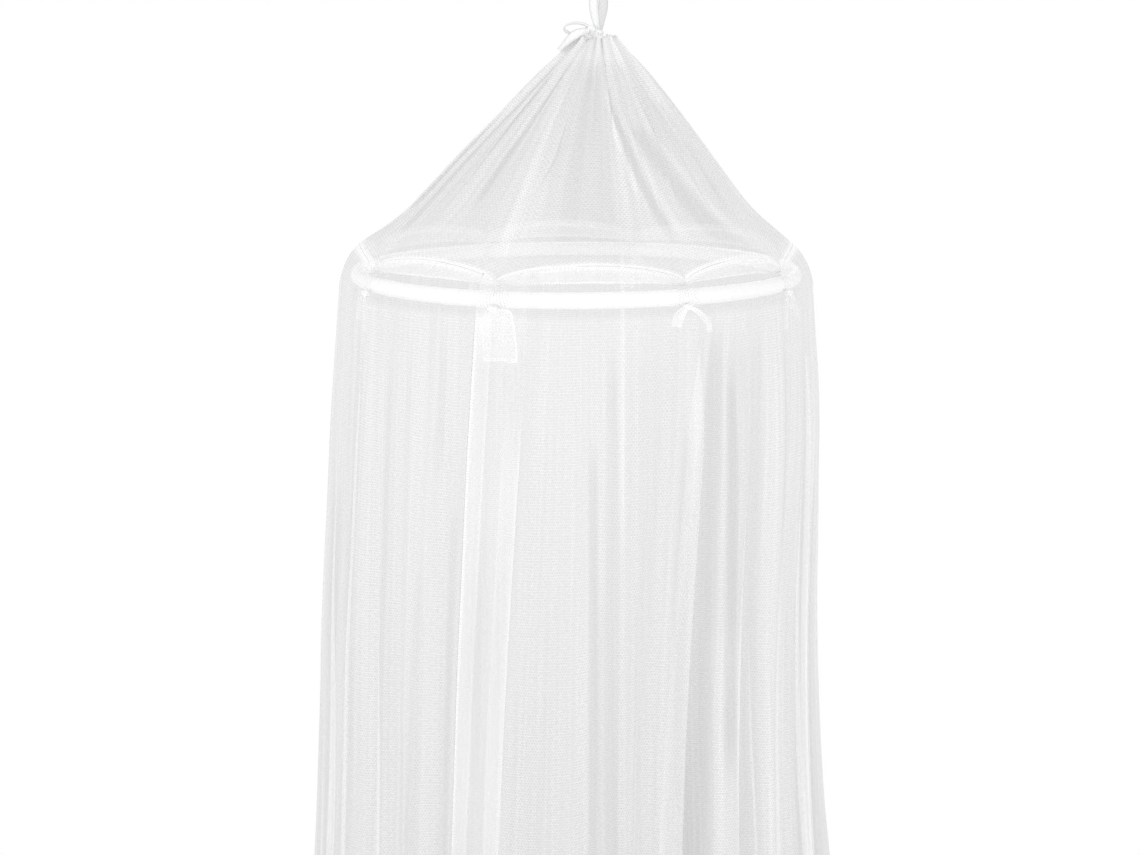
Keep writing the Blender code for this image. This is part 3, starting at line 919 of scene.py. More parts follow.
    def surface(self) -> tuple[Grid, Grid, Grid, Grid, Grid]:
        """Works out where the panel hangs.

        Returns:
            Its points, and for each point the radius, the angle, the drop and the unevenness of its pleats.
        """
        form = self.form
        column, column_under, from_edge, _ = self.column_plan()
        step, drop, row_under = self.row_plan()
        u, t = column[:, None], drop[None, :]
        out = np.zeros_like(u)
        if self.lapped:
            out = self.lap * (1.0 - np.clip((u - self.lap_from) / self.lap_fade, 0.0, 1.0))
        # Over the shoulder, from the seam to just below the hoop.
        seam, shoulder, side = (form.crossing(u, part) for part in ("seam", "shoulder", "side"))
        s = step[None, :]
        tilt = math.radians(60.0) * (1.0 - s)
        top_r, top_h = (
            a * (1 - s) ** 2 + 2 * b * s * (1 - s) + c * s**2 for a, b, c in zip(seam, shoulder, side)
        )
        top_r, top_h = top_r + out * np.cos(tilt), top_h + out * np.sin(tilt)
        # Below it, the outline with its folds.
        wave = self.hem_wave * np.sin(np.radians(5.0 * u)) * (t / form.hem_drop)
        from_side = np.abs(np.abs(u) - 90.0)
        flatter = 1.0 - self.side_calm * ramp(from_side, 5.0, 9.0) * (1.0 - ramp(from_side, 24.0, 32.0))
        low_r = form.girth(u, t) + form.fold_depth(u, t) * flatter + out
        hanging = (np.arange(len(drop)) >= self.shoulder_rows)[None, :]
        radius = np.where(hanging, low_r, top_r)
        height = np.where(hanging, wave - t, top_h)
        fall = np.where(hanging, t, 0.0) + np.zeros_like(u)
        angle = u + form.sway(u, fall)
        # Folds laid flat on themselves.
        for tuck in self.tucks:
            if not self.first + 3 < tuck.angle < self.last - 3:
                continue
            strength = ramp(fall, tuck.start, tuck.start + 0.16) * np.ones_like(u)
            aside, outward = laid(u, tuck.angle, tuck.width * (1.0 + 0.25 * fall), strength)
            angle = angle + aside
            radius = radius + tuck.lift * outward
        # Small uneven pleats, from the gathers under the seam down.
        calm = curve_through(self.calm_angles, self.calm_shares, u)
        grown = 0.30 + 0.70 * ramp(fall, 0.0, 0.5) + 0.25 * fall
        free = ramp(np.abs(from_edge), 0.006, 0.03)[:, None]
        rough = soft_noise(u / self.pleat_period + 400.0, fall / 0.8, 11)
        fine = soft_noise(u / self.fine_period + 900.0, fall / 0.45, 23)
        pleats = (self.pleat_depth * rough + self.fine_depth * fine) * grown * calm * free
        radius = radius + pleats * ramp(s + hanging, 0.2, 1.0)
        under = np.maximum(column_under[:, None], row_under[None, :])
        radius = radius - self.turn_under * under
        return form.place(angle, radius, height), radius, angle, fall, rough

    def threads(self, radius: Grid, angle: Grid, fall: Grid, rough: Grid) -> tuple[Grid, Grid]:
        """Works out how the threads lie: where folds, hems and seams crowd them, and where shade is painted on the net.

        Args:
            radius: Radius of each point.
            angle: Angle of each point.
            fall: Drop of each point below the hoop, 0 above it.
            rough: Unevenness of the pleats at each point.

        Returns:
            The crowding and the painted shade, as depth, of each point.
        """
        form = self.form
        column, _, from_edge, from_seam = self.column_plan()
        _, drop, _ = self.row_plan()
        u, t = column[:, None], drop[None, :]
        hanging = (np.arange(len(drop)) >= self.shoulder_rows)[None, :]
        calm = curve_through(self.calm_angles, self.calm_shares, u)
        # Folds at the sides hide behind one another, so their flanks are stretched thin, not crowded.
        side = ramp(np.abs(u), 48.0, 60.0) * (1.0 - ramp(np.abs(u), 118.0, 130.0))
        crowd = crowding(radius, angle, self.flank_gain - self.side_loss * side) + 0.14 * rough * calm
        # The outermost fold on each side is seen edge on from top to bottom.
        outermost = (1.0 - ramp(np.abs(np.abs(u) - 91.0), 4.0, 9.0)) * ramp(fall, 0.1, 0.5)
        crowd = crowd + 0.07 * ramp(np.abs(u), 26.0, 44.0) + 0.2 * outermost
        # The net lies taut and thin over the front and back of the hoop.
        taut = (1.0 - ramp(fall, 0.0, 0.016)) * ramp(np.abs(np.abs(u) - 90.0), 22.0, 34.0)
        crowd = crowd * (1.0 - self.taut_share * taut)
        # Painted shade: each band's depth tints the net towards its shadow colour along the fold it follows.
        depth = np.zeros_like(crowd)
        for band in self.bands:
            gone = 1.0 - np.exp(-fall / 0.30)
            half = band.width * (1.0 + band.widen * gone)
            inside = np.exp(-(((u - band.angle - band.move * gone) / half) ** 6))
            inside = inside * ramp(fall, band.start, band.start + 0.08)
            inside = inside * (1.0 - ramp(fall, band.end - 0.1, band.end))
            inside = inside * (0.85 + 0.3 * soft_noise(u / 3.0 + 50.0, fall / 0.2, 17))
            crowd = crowd + band.crowd * inside
            depth = depth + band.depth * inside
        edge = np.exp(-((from_edge / self.edge_width) ** 2))[:, None]
        seam_line = np.exp(-((from_seam / 0.0018) ** 2))[:, None] * (1.0 - 0.75 * ramp(fall, 0.36, 0.56))
        stitch = np.exp(-(((from_edge - self.hem) / 0.0016) ** 2))[:, None]
        sewn = np.exp(-((np.arange(len(drop)) / 1.3) ** 2))[None, :]
        foot = np.exp(-(((t - form.hem_drop) / 0.004) ** 2)) * hanging
        # A front hem shows most where the panels part from the hoop, and fades among the folds lower down.
        shown = ramp(fall, self.edge_start, self.edge_start + 0.10)
        shown = shown * (1.0 - self.edge_fade * ramp(fall, 0.25, 0.80))
        edge, stitch = edge * shown, stitch * shown
        hidden = (1.0 - ramp(fall, self.edge_start, self.edge_start + 0.15)) * float(self.edge_start > 0.0)
        crowd = crowd * (1.0 - 0.75 * hidden * np.exp(-((from_edge / 0.028) ** 2))[:, None])
        crowd = crowd + self.edge_crowd * edge + 0.45 * stitch + 2.2 * sewn + 1.8 * foot + 1.7 * seam_line
        depth = depth * (1.0 - np.clip(edge + stitch + sewn + foot + seam_line, 0.0, 1.0))
        return np.clip(crowd, 0.2, 5.0), np.clip(depth, 0.0, 1.0)

    def build(self, material: Any) -> Any:
        """Args:
            material: The net.

        Returns:
            The piece.
        """
        points, radius, angle, fall, rough = self.surface()
        crowd, depth = self.threads(radius, angle, fall, rough)
        patch = Patch(points, flat_cloth(points), crowd, depth=depth)
        piece = make_piece(f"{self.name}_net", [patch], material)
        settle(piece, Slot.NET, self.name)
        return piece


@dataclass
class Roof:
    """The net roof, gathered at the top in its casing and sewn to the skirt below."""

    form: NetForm
    columns: int = 720
    rows: int = 58
    rim_radius: float = 0.026
    edge_clear: float = 0.0009
    gathers: int = 19
    gather_depth: float = 0.0022
    rim_bunch: float = 0.0040
    density: float = 0.45
    shadow: float = 0.20
    roll_changes: tuple[float, ...] = (-0.0100, -0.0080, -0.0050, -0.0010, 0.0)
    roll_rises: tuple[float, ...] = (-0.0060, -0.0015, 0.0020, 0.0036, 0.0)
    sag_shares: tuple[float, ...] = (0.0, 0.07, 0.26, 0.52, 0.80, 1.0)
    sags: tuple[float, ...] = (0.0, 0.0, 0.001, 0.004, 0.008, 0.0)
    tucks: tuple[Tuck, ...] = (
        Tuck(-84.0, 3.4, 0.0026, 0.03, 0.90),
        Tuck(-52.0, 2.6, 0.0022, 0.10, 0.80),
        Tuck(-16.0, 3.0, 0.0022, 0.06, 0.70),
        Tuck(14.0, 2.2, 0.0018, 0.05, 0.45),
        Tuck(34.0, 3.0, 0.0024, 0.08, 0.75),
        Tuck(58.0, 3.2, 0.0024, 0.25, 0.92),
        Tuck(96.0, 2.4, 0.0020, 0.05, 0.80),
        Tuck(140.0, 2.4, 0.0020, 0.05, 0.60),
        Tuck(-140.0, 2.4, 0.0020, 0.08, 0.60),
    )
    # Streaks that follow the pulls from the knot: a crowd below 0 thins the net, and a depth above 0 paints shade on
    # it.
    creases: tuple[Crease, ...] = (
        Crease(-3.0, 6.0, 8.0, 3.0, -0.20, 0.16, 0.10, 1.00),
        Crease(8.0, 22.0, 1.3, 0.8, -0.28, 0.34, 0.14, 0.88),
        Crease(4.6, 22.0, 0.9, 0.8, 0.30, -0.10, 0.18, 0.74),
        Crease(12.4, 22.0, 0.9, 0.8, 0.24, -0.10, 0.30, 0.90),
        Crease(10.0, 40.0, 1.6, 4.6, -0.22, 0.26, 0.34, 0.99),
        Crease(19.0, 40.0, 1.2, 1.0, 0.24, -0.10, 0.36, 0.92),
        Crease(-38.0, -2.0, 1.3, 0.6, -0.26, 0.34, 0.06, 0.78),
        Crease(-34.5, 0.0, 1.2, 0.6, 0.30, -0.10, 0.08, 0.60),
        Crease(-26.0, 6.0, 1.4, 0.6, 0.30, -0.10, 0.20, 0.95),
        Crease(-66.0, 2.0, 2.0, 0.6, -0.30, 0.40, 0.06, 0.90),
        Crease(60.0, 0.0, 1.6, 0.6, -0.30, 0.35, 0.42, 0.80),
    )

    def threads(self, u: Grid, radial: Grid, angle: Grid, fall: Grid, creases: Grid) -> tuple[Grid, Grid]:
        """Works out how the cone's threads lie, from the gathers at the rim to the seam.

        Args:
            u: Angle of each column before any fold is laid.
            radial: Distance of each point from the cone's middle line.
            angle: Angle of each point.
            fall: Share of the way from the rim to the seam.
            creases: Height of the small creases at each point.

        Returns:
            The crowding and the painted shade, as depth, of each point.
        """
        crowd = self.density + crowding(radial, angle, 0.8) + 0.55 * (1 - fall) ** 6
        # The gathers lie thickest at the front, just under the knot.
        crowd = crowd + 0.8 * np.exp(-(((fall - 0.06) / 0.045) ** 2) - ((u - 10.0) / 40.0) ** 2)
        crowd = crowd + 0.25 * creases / 0.0016
        # Painted shade: the whole cone is tinted a little towards the net's shadow colour, as if sloping away from the
        # light; creases with a depth below 0 paint it lighter.
        depth = np.full(crowd.shape, self.shadow)
        for crease in self.creases:
            half = crease.width + crease.widen * fall
            inside = np.exp(-(((u - crease.angle - crease.drift * fall) / half) ** 4))
            inside = inside * ramp(fall, crease.start, crease.start + 0.10)
            inside = inside * (1.0 - ramp(fall, crease.end - 0.12, crease.end))
            crowd = crowd + crease.crowd * inside
            depth = depth + crease.depth * inside
        sewn = np.exp(-(((1 - fall) / 0.008) ** 2))
        return crowd + 2.2 * sewn, depth * (1.0 - sewn)

    def casing(self, u: Grid, top: Grid, outward: Grid) -> Grid:
        """Rolls the top edge in over the tape and puckers it.

        Args:
            u: Angle of each column.
            top: Points of the rim.
            outward: Level direction away from the middle at each point.

        Returns:
            The casing's points, from its inner edge to just above the rim.
        """
        step = np.linspace(0.0, 1.0, len(self.roll_changes))[:-1]
        change = np.array(self.roll_changes[:-1])[None, :, None]
        rise = np.array(self.roll_rises[:-1])[None, :, None] * np.array([0.0, 0.0, 1.0])
        rolled = top[:, :1] + outward[:, :1] * change + rise
        pucker = 0.0020 * np.sin(2.0 * self.gathers * np.radians(u))[..., None]
        return rolled + outward[:, :1] * pucker * (1.0 - step)[None, :, None]

    def build(self, material: Any) -> Any:
        """Args:
            material: The net.

        Returns:
            The piece.
        """
        form = self.form
        u = np.linspace(-180.0, 180.0, self.columns, endpoint=False)[:, None]
        share = np.linspace(0.0, 1.0, self.rows)[1:][None, :] ** 1.15
        fall = share + np.zeros_like(u)
        angle, lift = u + np.zeros_like(share), np.zeros_like(fall)
        for tuck in self.tucks:
            strength = ramp(fall, tuck.start, tuck.start + 0.12) * (1 - ramp(fall, tuck.end - 0.2, tuck.end))
            aside, outward = laid(u, tuck.angle, tuck.width, strength)
            angle, lift = angle + aside, lift + tuck.lift * outward
        turn = np.radians(angle)
        outward = np.stack([np.sin(turn), -np.cos(turn), np.zeros_like(turn)], axis=-1)
        ripple = self.gather_depth * np.sin(self.gathers * np.radians(u) + 1.3 * np.sin(3 * np.radians(u)))
        ripple = ripple + 0.0011 * soft_noise((u + 180.0) / 3.0, 0.0 * u, 31, 120)
        middle = np.array([form.hoop_x + form.rim_shift, 0.0, form.hoop_z + form.rim_height])
        top = middle + outward * (self.rim_radius + ripple)[..., None]
        foot_r, foot_h = form.crossing(angle, "seam")
        foot = form.place(angle, foot_r - self.edge_clear, foot_h + self.edge_clear)
        sag = curve_through(self.sag_shares, self.sags, share) * form.bow(angle)
        creases = 0.0016 * soft_noise((u + 180.0) / 3.0, fall * 1.5, 37, 120)
        creases = creases + 0.0007 * soft_noise((u + 180.0) / 1.2, fall * 3.0, 41, 300)
        creases = creases * (0.35 + 2.0 * fall * (1 - fall)) * (1 - ramp(fall, 0.9, 1.0))
        inward = sag - ripple * (1 - share) * np.minimum(share * 6.0, 1.0) - lift - creases
        slope = outward + np.array([0.0, 0.0, 1.0])
        points = top + (foot - top) * fall[..., None] - slope * inward[..., None]
        radial = np.hypot(points[..., 0] - form.hoop_x - form.rim_shift * (1 - fall), points[..., 1])
        crowd, depth = self.threads(u, radial, angle, fall, creases)
        # The rim is bunched unevenly, and the bunches die out a little way down the cone.
        casing = self.casing(u, top, outward)
        bunch = soft_noise((u + 180.0) / 12.0, 0.0 * u, 43, 30)
        bunch = bunch + 0.6 * soft_noise((u + 180.0) / 5.0, 0.0 * u, 47, 72)
        lifted = np.stack([0.0 * bunch, 0.0 * bunch, self.rim_bunch * bunch], axis=-1)
        points = np.concatenate([casing + lifted, points + lifted * (1 - fall[..., None]) ** 12], axis=1)
        gathered = 1.9 + 1.5 * bunch + np.zeros((self.columns, casing.shape[1]))
        crowd = np.concatenate([gathered, crowd + 1.2 * np.maximum(bunch, 0.0) * (1 - fall) ** 20], axis=1)
        # Painted shade in the hollows between the rim's bunches.
        depth = np.concatenate([0.4 * np.clip(-bunch, 0.0, 1.0) + 0.0 * gathered, depth], axis=1)
        loop = np.concatenate([points, points[:1]])
        cloth = flat_cloth(loop)[:-1]
        patch = Patch(points, cloth, np.clip(crowd, 0.4, 5.0), ring=True, depth=np.clip(depth, 0.0, 1.0))
        piece = make_piece("roof_net", [patch], material)
        settle(piece, Slot.NET, "roof")
        return piece


@dataclass
class HoopStrip:
    """The strip of net, folded lengthwise, that is sewn inside over the seam and holds the ties."""

    form: NetForm
    columns: int = 900
    layer_gap: float = 0.0011
    pucker: float = 0.0007

    def build(self, material: Any) -> Any:
        """Args:
            material: The folded net.

        Returns:
            The piece.
        """
        form = self.form
        u = np.linspace(-180.0, 180.0, self.columns, endpoint=False)[:, None]
        across = np.concatenate([np.linspace(0.0, 1.0, 7), [1.03], np.linspace(1.0, 0.02, 7)])[None, :]
        inner = np.concatenate([np.zeros(7), [0.5], np.ones(7)])[None, :]
        top_r, top_h = form.crossing(u, "strip_top")
        foot_r, foot_h = form.crossing(u, "strip_foot")
        ripple = self.pucker * soft_noise((u + 180.0) / 1.5, across * 1.2, 53, 240)
        radius = top_r + (foot_r - top_r) * across - self.layer_gap * inner + ripple
        height = top_h + (foot_h - top_h) * across + 0.6 * ripple
        points = form.place(u, radius, height)
        edges = np.exp(-((across / 0.09) ** 2)) + np.exp(-(((across - 1.0) / 0.08) ** 2))
        gathered = 1.0 - form.bow(u)
        crowd = 0.72 + 2.0 * edges + 1.0 * gathered + 0.0 * u
        loop = np.concatenate([points, points[:1]])
        cloth = flat_cloth(loop)[:-1]
        piece = make_piece("hoop_strip_net", [Patch(points, cloth, np.clip(crowd, 0.5, 5.0), ring=True)], material)
        settle(piece, Slot.NET_FOLDED, "hoop_strip")
        return piece


def ribbon(path: Grid, across: Grid, widths: Grid, lanes: int, shape: Callable[[Grid, Grid], Grid]) -> Grid:
    """Sweeps a band along a path.

    Args:
        path: Points of the middle line.
        across: Direction of the width at each point.
        widths: Width at each point.
        lanes: Number of points across.
        shape: Lift off the band's plane, from the place along (0 to 1) and across (-1 to 1).

    Returns:
        Columns across by rows along by 3.
    """
    along = np.gradient(path, axis=0)
    along /= np.linalg.norm(along, axis=1, keepdims=True)
    side = across - along * (across * along).sum(axis=1, keepdims=True)
    side /= np.linalg.norm(side, axis=1, keepdims=True)
    face = np.cross(along, side)
    lane = np.linspace(-1.0, 1.0, lanes)[:, None]
    share = np.linspace(0.0, 1.0, len(path))[None, :]
    lift = shape(share, lane)
    return path[None] + side[None] * (lane * widths[None] / 2)[..., None] + face[None] * lift[..., None]


def woven_band(grid: Grid) -> Patch:
    """Makes a tape's patch, with its depth painting shade along the two edges.

    Args:
        grid: Columns across by rows along by 3.

    Returns:
        The patch.
    """
    edges = np.abs(np.linspace(-1.0, 1.0, grid.shape[0]))[:, None] ** 3 + np.zeros(grid.shape[:2])
    return Patch(grid, flat_cloth(grid), np.ones(grid.shape[:2]), depth=edges)


def smooth_path(points: Sequence[Sequence[float]], count: int) -> Grid:
    """Reads evenly spaced points from a smooth curve through the given ones.

    Args:
        points: Places along the path.
        count: How many points to read.

    Returns:
        The points, as count by 3.
    """
    given = np.asarray(points, float)
    keys = np.concatenate([[0.0], np.cumsum(np.linalg.norm(np.diff(given, axis=0), axis=1))])
    at = np.linspace(0.0, keys[-1], count)
    return np.stack([curve_through(keys, given[:, k], at) for k in range(3)], axis=1)


@dataclass
class HoopTie:
    """One tie: a strip of net turned round the tube, knotted below it, with two loose ends."""

    form: NetForm
    index: int
    row: Tie
    wrap_radius: float = 0.0112
    knot_radius: float = 0.0052
    flat_width: float = 0.050

    def axes(self) -> tuple[Grid, Grid, Grid, Grid]:
        """Finds the tie's place and directions.

        Returns:
            The tube's middle at the tie, and the directions along the hoop, outward and up.
        """
        turn = math.radians(self.row.angle)
        along = np.array([math.cos(turn), math.sin(turn), 0.0])
        out = np.array([math.sin(turn), -math.cos(turn), 0.0])
        up = np.array([0.0, 0.0, 1.0])
        return self.form.place(self.row.angle, self.form.hoop_radius, 0.0), along, out, up

    def wrap(self) -> Patch:
        """Makes the turn round the tube, creased lengthwise where it bunches.

        Returns:
            The turn's patch.
        """
        centre, along, out, up = self.axes()
        turn = np.linspace(0.0, 2 * np.pi, 49)[:-1][:, None]
        lane = np.linspace(-1.0, 1.0, 25)[None, :]
        half = self.row.wrap / 2 * (0.74 + 0.26 * np.cos(turn + math.radians(40.0)))
        crease = 0.0003 * soft_noise(lane * 5.0 + 20.0 + self.index * 9.0, 1.2 * np.sin(turn) + 3.0, 61)
        radius = self.wrap_radius + np.abs(crease)
        offset = out * (radius * np.cos(turn))[..., None] + up * (radius * np.sin(turn))[..., None]
        points = centre + offset + along * (lane * half)[..., None]
        crowd = 0.6 + 0.5 * np.abs(lane) ** 8 + 500.0 * np.abs(crease) + 0.0 * turn
        loop = np.concatenate([points, points[:1]])
        return Patch(points, flat_cloth(loop)[:-1], np.clip(crowd, 0.8, 5.0), ring=True)

    def knot(self, centre: Grid) -> Patch:
        """Makes the pulled knot, with the strip's creases winding over it.

        Args:
            centre: The knot's middle.

        Returns:
            The knot's patch.
        """
        _, along, out, up = self.axes()
        turn = np.linspace(0.0, 2 * np.pi, 33)[:-1][:, None]
        rise = np.linspace(-0.49, 0.49, 17)[None, :] * np.pi
        ridge = 1.0 + 0.10 * np.sin(3 * turn + 4 * rise) + 0.05 * np.sin(5 * turn - 3 * rise + self.index)
        size = self.knot_radius * ridge
        points = (
            centre
            + along * (1.3 * size * np.sin(rise))[..., None]
            + out * (size * np.cos(rise) * np.cos(turn))[..., None]
            + up * (0.8 * size * np.cos(rise) * np.sin(turn))[..., None]
        )
        loop = np.concatenate([points, points[:1]])
        return Patch(points, flat_cloth(loop)[:-1], np.full(points.shape[:2], 3.4), ring=True)

    def tail(self, start: Grid, reach: float, drop: float, width: float, seed: int) -> Patch:
        """Makes one loose end, bunched at the knot and opening towards its cut end.

        Args:
            start: The knot's middle.
            reach: How far it goes along the hoop.
            drop: How far it hangs.
            width: Its width at the end.
            seed: Picks its creases.

        Returns:
            The loose end's patch.
        """
        _, along, out, up = self.axes()
        share = np.linspace(0.0, 1.0, 28)
        sideways = reach * np.sin(share * np.pi / 2)
        path = (
            start
            + along * sideways[:, None]
            - up * (drop * share**1.25)[:, None]
            + out * (0.002 * share)[:, None]
        )
        opened = float(ramp(np.array(width), 0.014, 0.040))
        widths = 0.005 + (width - 0.005) * ramp(share, 0.0, 0.55 - 0.33 * opened) * (1.0 - 0.04 * share)
        across = np.repeat((along - 0.15 * up)[None], len(share), axis=0)

        def creased(s: Grid, lane: Grid) -> Grid:
            """Creases that die out towards the free end, and a soft curl."""
            folds = soft_noise(lane * 3.5 + 10.0 + seed, s * 1.5, seed)
            return 0.0010 * folds * (1.0 - 0.55 * s) + 0.0018 * s * lane**2

        points = ribbon(path, across, widths, 21, creased)
        lane = np.linspace(-1.0, 1.0, 21)[:, None]
        cut = 0.0018 * soft_noise(lane * 2.0 + 5.0, share[None] * 0.0, seed + 7)
        points = points - up * (cut * share[None] ** 6)[..., None]
        bunched = 1.0 - ramp(share[None], 0.0, 0.5)
        crowd = self.row.density + 1.2 * bunched + 1.0 * np.abs(lane) ** 10 + 0.8 * (share[None] > 0.95)
        crowd = crowd + 2.6 * opened * np.maximum(lane, 0.0) ** 14
        return Patch(points, flat_cloth(points), np.clip(crowd, 0.8, 5.0))

    def build(self, material: Any) -> Any:
        """Args:
            material: The folded net.

        Returns:
            The piece.
        """
        centre, _, out, up = self.axes()
        knot = centre + out * 0.0124 - up * 0.0098
        row, name = self.row, f"tie_{self.index}"
        patches = [
            self.wrap(),
            self.knot(knot),
            self.tail(knot, row.left_out, row.left_drop, row.left_width, 70 + self.index),
            self.tail(knot + out * 0.0024, row.right_out, row.right_drop, row.right_width, 90 + self.index),
        ]
        piece = make_piece(f"{name}_net", patches, material)
        settle(piece, Slot.NET_FOLDED, name)
        return piece


@dataclass
class HangingTape:
    """The tape: its hanging loop, knot, half bow and loose end."""

    form: NetForm
    width: float = 0.014
    thickness: float = 0.0010
    loop_width: float = 0.024
    loop_turn: float = 35.0
    foot: tuple[float, float, float] = (0.0, 0.0, 0.009)
    bow_knot: tuple[float, float, float] = (-0.011, -0.008, 0.0125)

    def rim(self) -> Grid:
        """The rim's level, straight below the hook."""
        return np.array([0.0, 0.0, self.form.hoop_z + self.form.rim_height])

    def loop(self) -> Patch:
        """Makes the hanging loop, from the knot up over the hook's place and down again.

        Returns:
            The loop's patch.
        """
        turn = math.radians(self.loop_turn)
        wide = np.array([math.sin(turn), math.cos(turn), 0.0])
        flat = np.array([math.cos(turn), -math.sin(turn), 0.0])
        up = np.array([0.0, 0.0, 1.0])
        foot, half = self.rim() + np.array(self.foot), self.loop_width / 2
        crown = np.array([0.0, 0.0, -half - 0.0006])
        points = [foot - wide * 0.001, foot + up * 0.012 - wide * 0.005, foot + up * 0.034 - wide * half * 0.92]
        for swing in np.linspace(0.0, np.pi, 9):
            points.append(crown - wide * half * math.cos(swing) + up * half * math.sin(swing))
        points += [foot + up * 0.034 + wide * half * 0.92, foot + up * 0.012 + wide * 0.005, foot + wide * 0.001]
        path = smooth_path(points, 120)
        share = np.linspace(0.0, 1.0, 120)
        pinch = ramp(share, 0.0, 0.16) * (1 - ramp(share, 0.84, 1.0))
        widths = self.width * (0.68 + 0.32 * pinch)

        def cupped(s: Grid, lane: Grid) -> Grid:
            """The tape cups a little where it is pulled into the knot."""
            return 0.0016 * (1 - lane**2) * (1 - ramp(s, 0.0, 0.2) * (1 - ramp(s, 0.8, 1.0))) + 0.0 * s

        return woven_band(ribbon(path, np.repeat(flat[None], 120, axis=0), widths, 11, cupped))

    def lump(self, centre: Grid, sizes: tuple[float, float, float], twist: float) -> Patch:
        """Makes a pulled knot with the tape's edges winding over it.

        Args:
            centre: The knot's middle.
            sizes: Its half sizes.
            twist: How many ridges cross it, and which way.

        Returns:
            The knot's patch.
        """
        turn = np.linspace(0.0, 2 * np.pi, 41)[:-1][:, None]
        rise = np.linspace(-0.49, 0.49, 21)[None, :] * np.pi
        ridge = 1.0 + 0.11 * np.sin(2 * turn + twist * rise) + 0.05 * np.sin(3 * turn - 2 * rise)
        points = centre + np.stack(
            np.broadcast_arrays(
                sizes[0] * ridge * np.sin(rise),
                sizes[1] * ridge * np.cos(rise) * np.cos(turn),
                sizes[2] * ridge * np.cos(rise) * np.sin(turn),
            ),
            axis=-1,
        )
        loop = np.concatenate([points, points[:1]])
        return Patch(points, flat_cloth(loop)[:-1], np.ones(points.shape[:2]), ring=True)

    def bow(self) -> Patch:
        """Makes the half bow's loop.

        Returns:
            The loop's patch.
        """
        knot = self.rim() + np.array(self.bow_knot)
        swing = np.linspace(0.0, 2 * np.pi, 60)
        path = knot + np.stack(
            [
                -0.0165 * (1.0 - np.cos(swing)),
                -0.004 * np.sin(swing / 2) - 0.0072 * swing / (2 * np.pi),
                0.0075 * np.sin(swing) + 0.002 * np.sin(swing / 2),
            ],
            axis=1,
        )
        lean = np.array([0.25, 1.0, 0.35])
        return woven_band(
            ribbon(path, np.repeat(lean[None], 60, axis=0), np.full(60, 0.0085), 9, lambda s, v: 0.0 * s * v)
        )

    def tail(self) -> Patch:
        """Makes the loose end, over the roof's left shoulder.

        Returns:
            The loose end's patch.
        """
        knot = self.rim() + np.array(self.bow_knot)
        steps = (
            (0.0, -0.003, -0.001),
            (-0.010, -0.010, -0.002),
            (-0.021, -0.014, -0.007),
            (-0.031, -0.015, -0.016),
            (-0.040, -0.014, -0.026),
        )
        path = smooth_path([knot + np.array(step) for step in steps], 40)
        share = np.linspace(0.0, 1.0, 40)
        widths = 0.006 + 0.006 * ramp(share, 0.0, 0.5)
        across = np.repeat(np.array([[0.5, 0.3, 0.9]]), 40, axis=0)
        return woven_band(ribbon(path, across, widths, 9, lambda s, v: 0.0012 * (1 - s) * v**2))

    def build(self, material: Any) -> Any:
        """Args:
            material: The tape.

        Returns:
            The piece.
        """
        foot = self.rim() + np.array(self.foot) + np.array([-0.003, -0.002, 0.0])
        bands = [self.loop(), self.bow(), self.tail()]
        knots = [
            self.lump(foot, (0.0085, 0.0070, 0.0055), 3.0),
            self.lump(self.rim() + np.array(self.bow_knot), (0.0065, 0.0055, 0.0060), -3.0),
        ]
        piece = make_piece("hanging_tape_cloth", bands + knots, material)
        body = piece.modifiers.new("thickness", "SOLIDIFY")
        body.thickness = self.thickness
        body.offset = 0.0
        settle(piece, Slot.TAPE, "hanging_tape")
        return piece


@dataclass
class Hoop:
    """The round tube that spreads the net."""

    form: NetForm
    columns: int = 256
    sides: int = 28

    def build(self, material: Any) -> Any:
        """Builds the tube.

        Args:
            material: The plastic.

        Returns:
            The piece.
        """
        form = self.form
        u = np.linspace(-180.0, 180.0, self.columns, endpoint=False)[:, None]
        turn = np.linspace(0.0, 2 * np.pi, self.sides + 1)[None, :]
        # A bent tube is a trace out of round and out of level.
        wobble = 0.0006 * np.sin(2 * np.radians(u + 30.0))
        radius = form.hoop_radius + wobble + form.tube_radius * np.cos(turn)
        height = 0.0005 * np.sin(3 * np.radians(u)) + form.tube_radius * np.sin(turn)
        points = form.place(u, radius, height)
        loop = np.concatenate([points, points[:1]])
        cloth = flat_cloth(loop)[:-1]
        piece = make_piece("hoop_tube", [Patch(points, cloth, np.ones(points.shape[:2]), ring=True)], material)
        settle(piece, Slot.HOOP, "hoop")
        log.info("hoop_tube: %.0f mm across", 2000 * (form.hoop_radius + form.tube_radius))
        return piece


# ----------------------------------------------------------------------------------------------- the studio


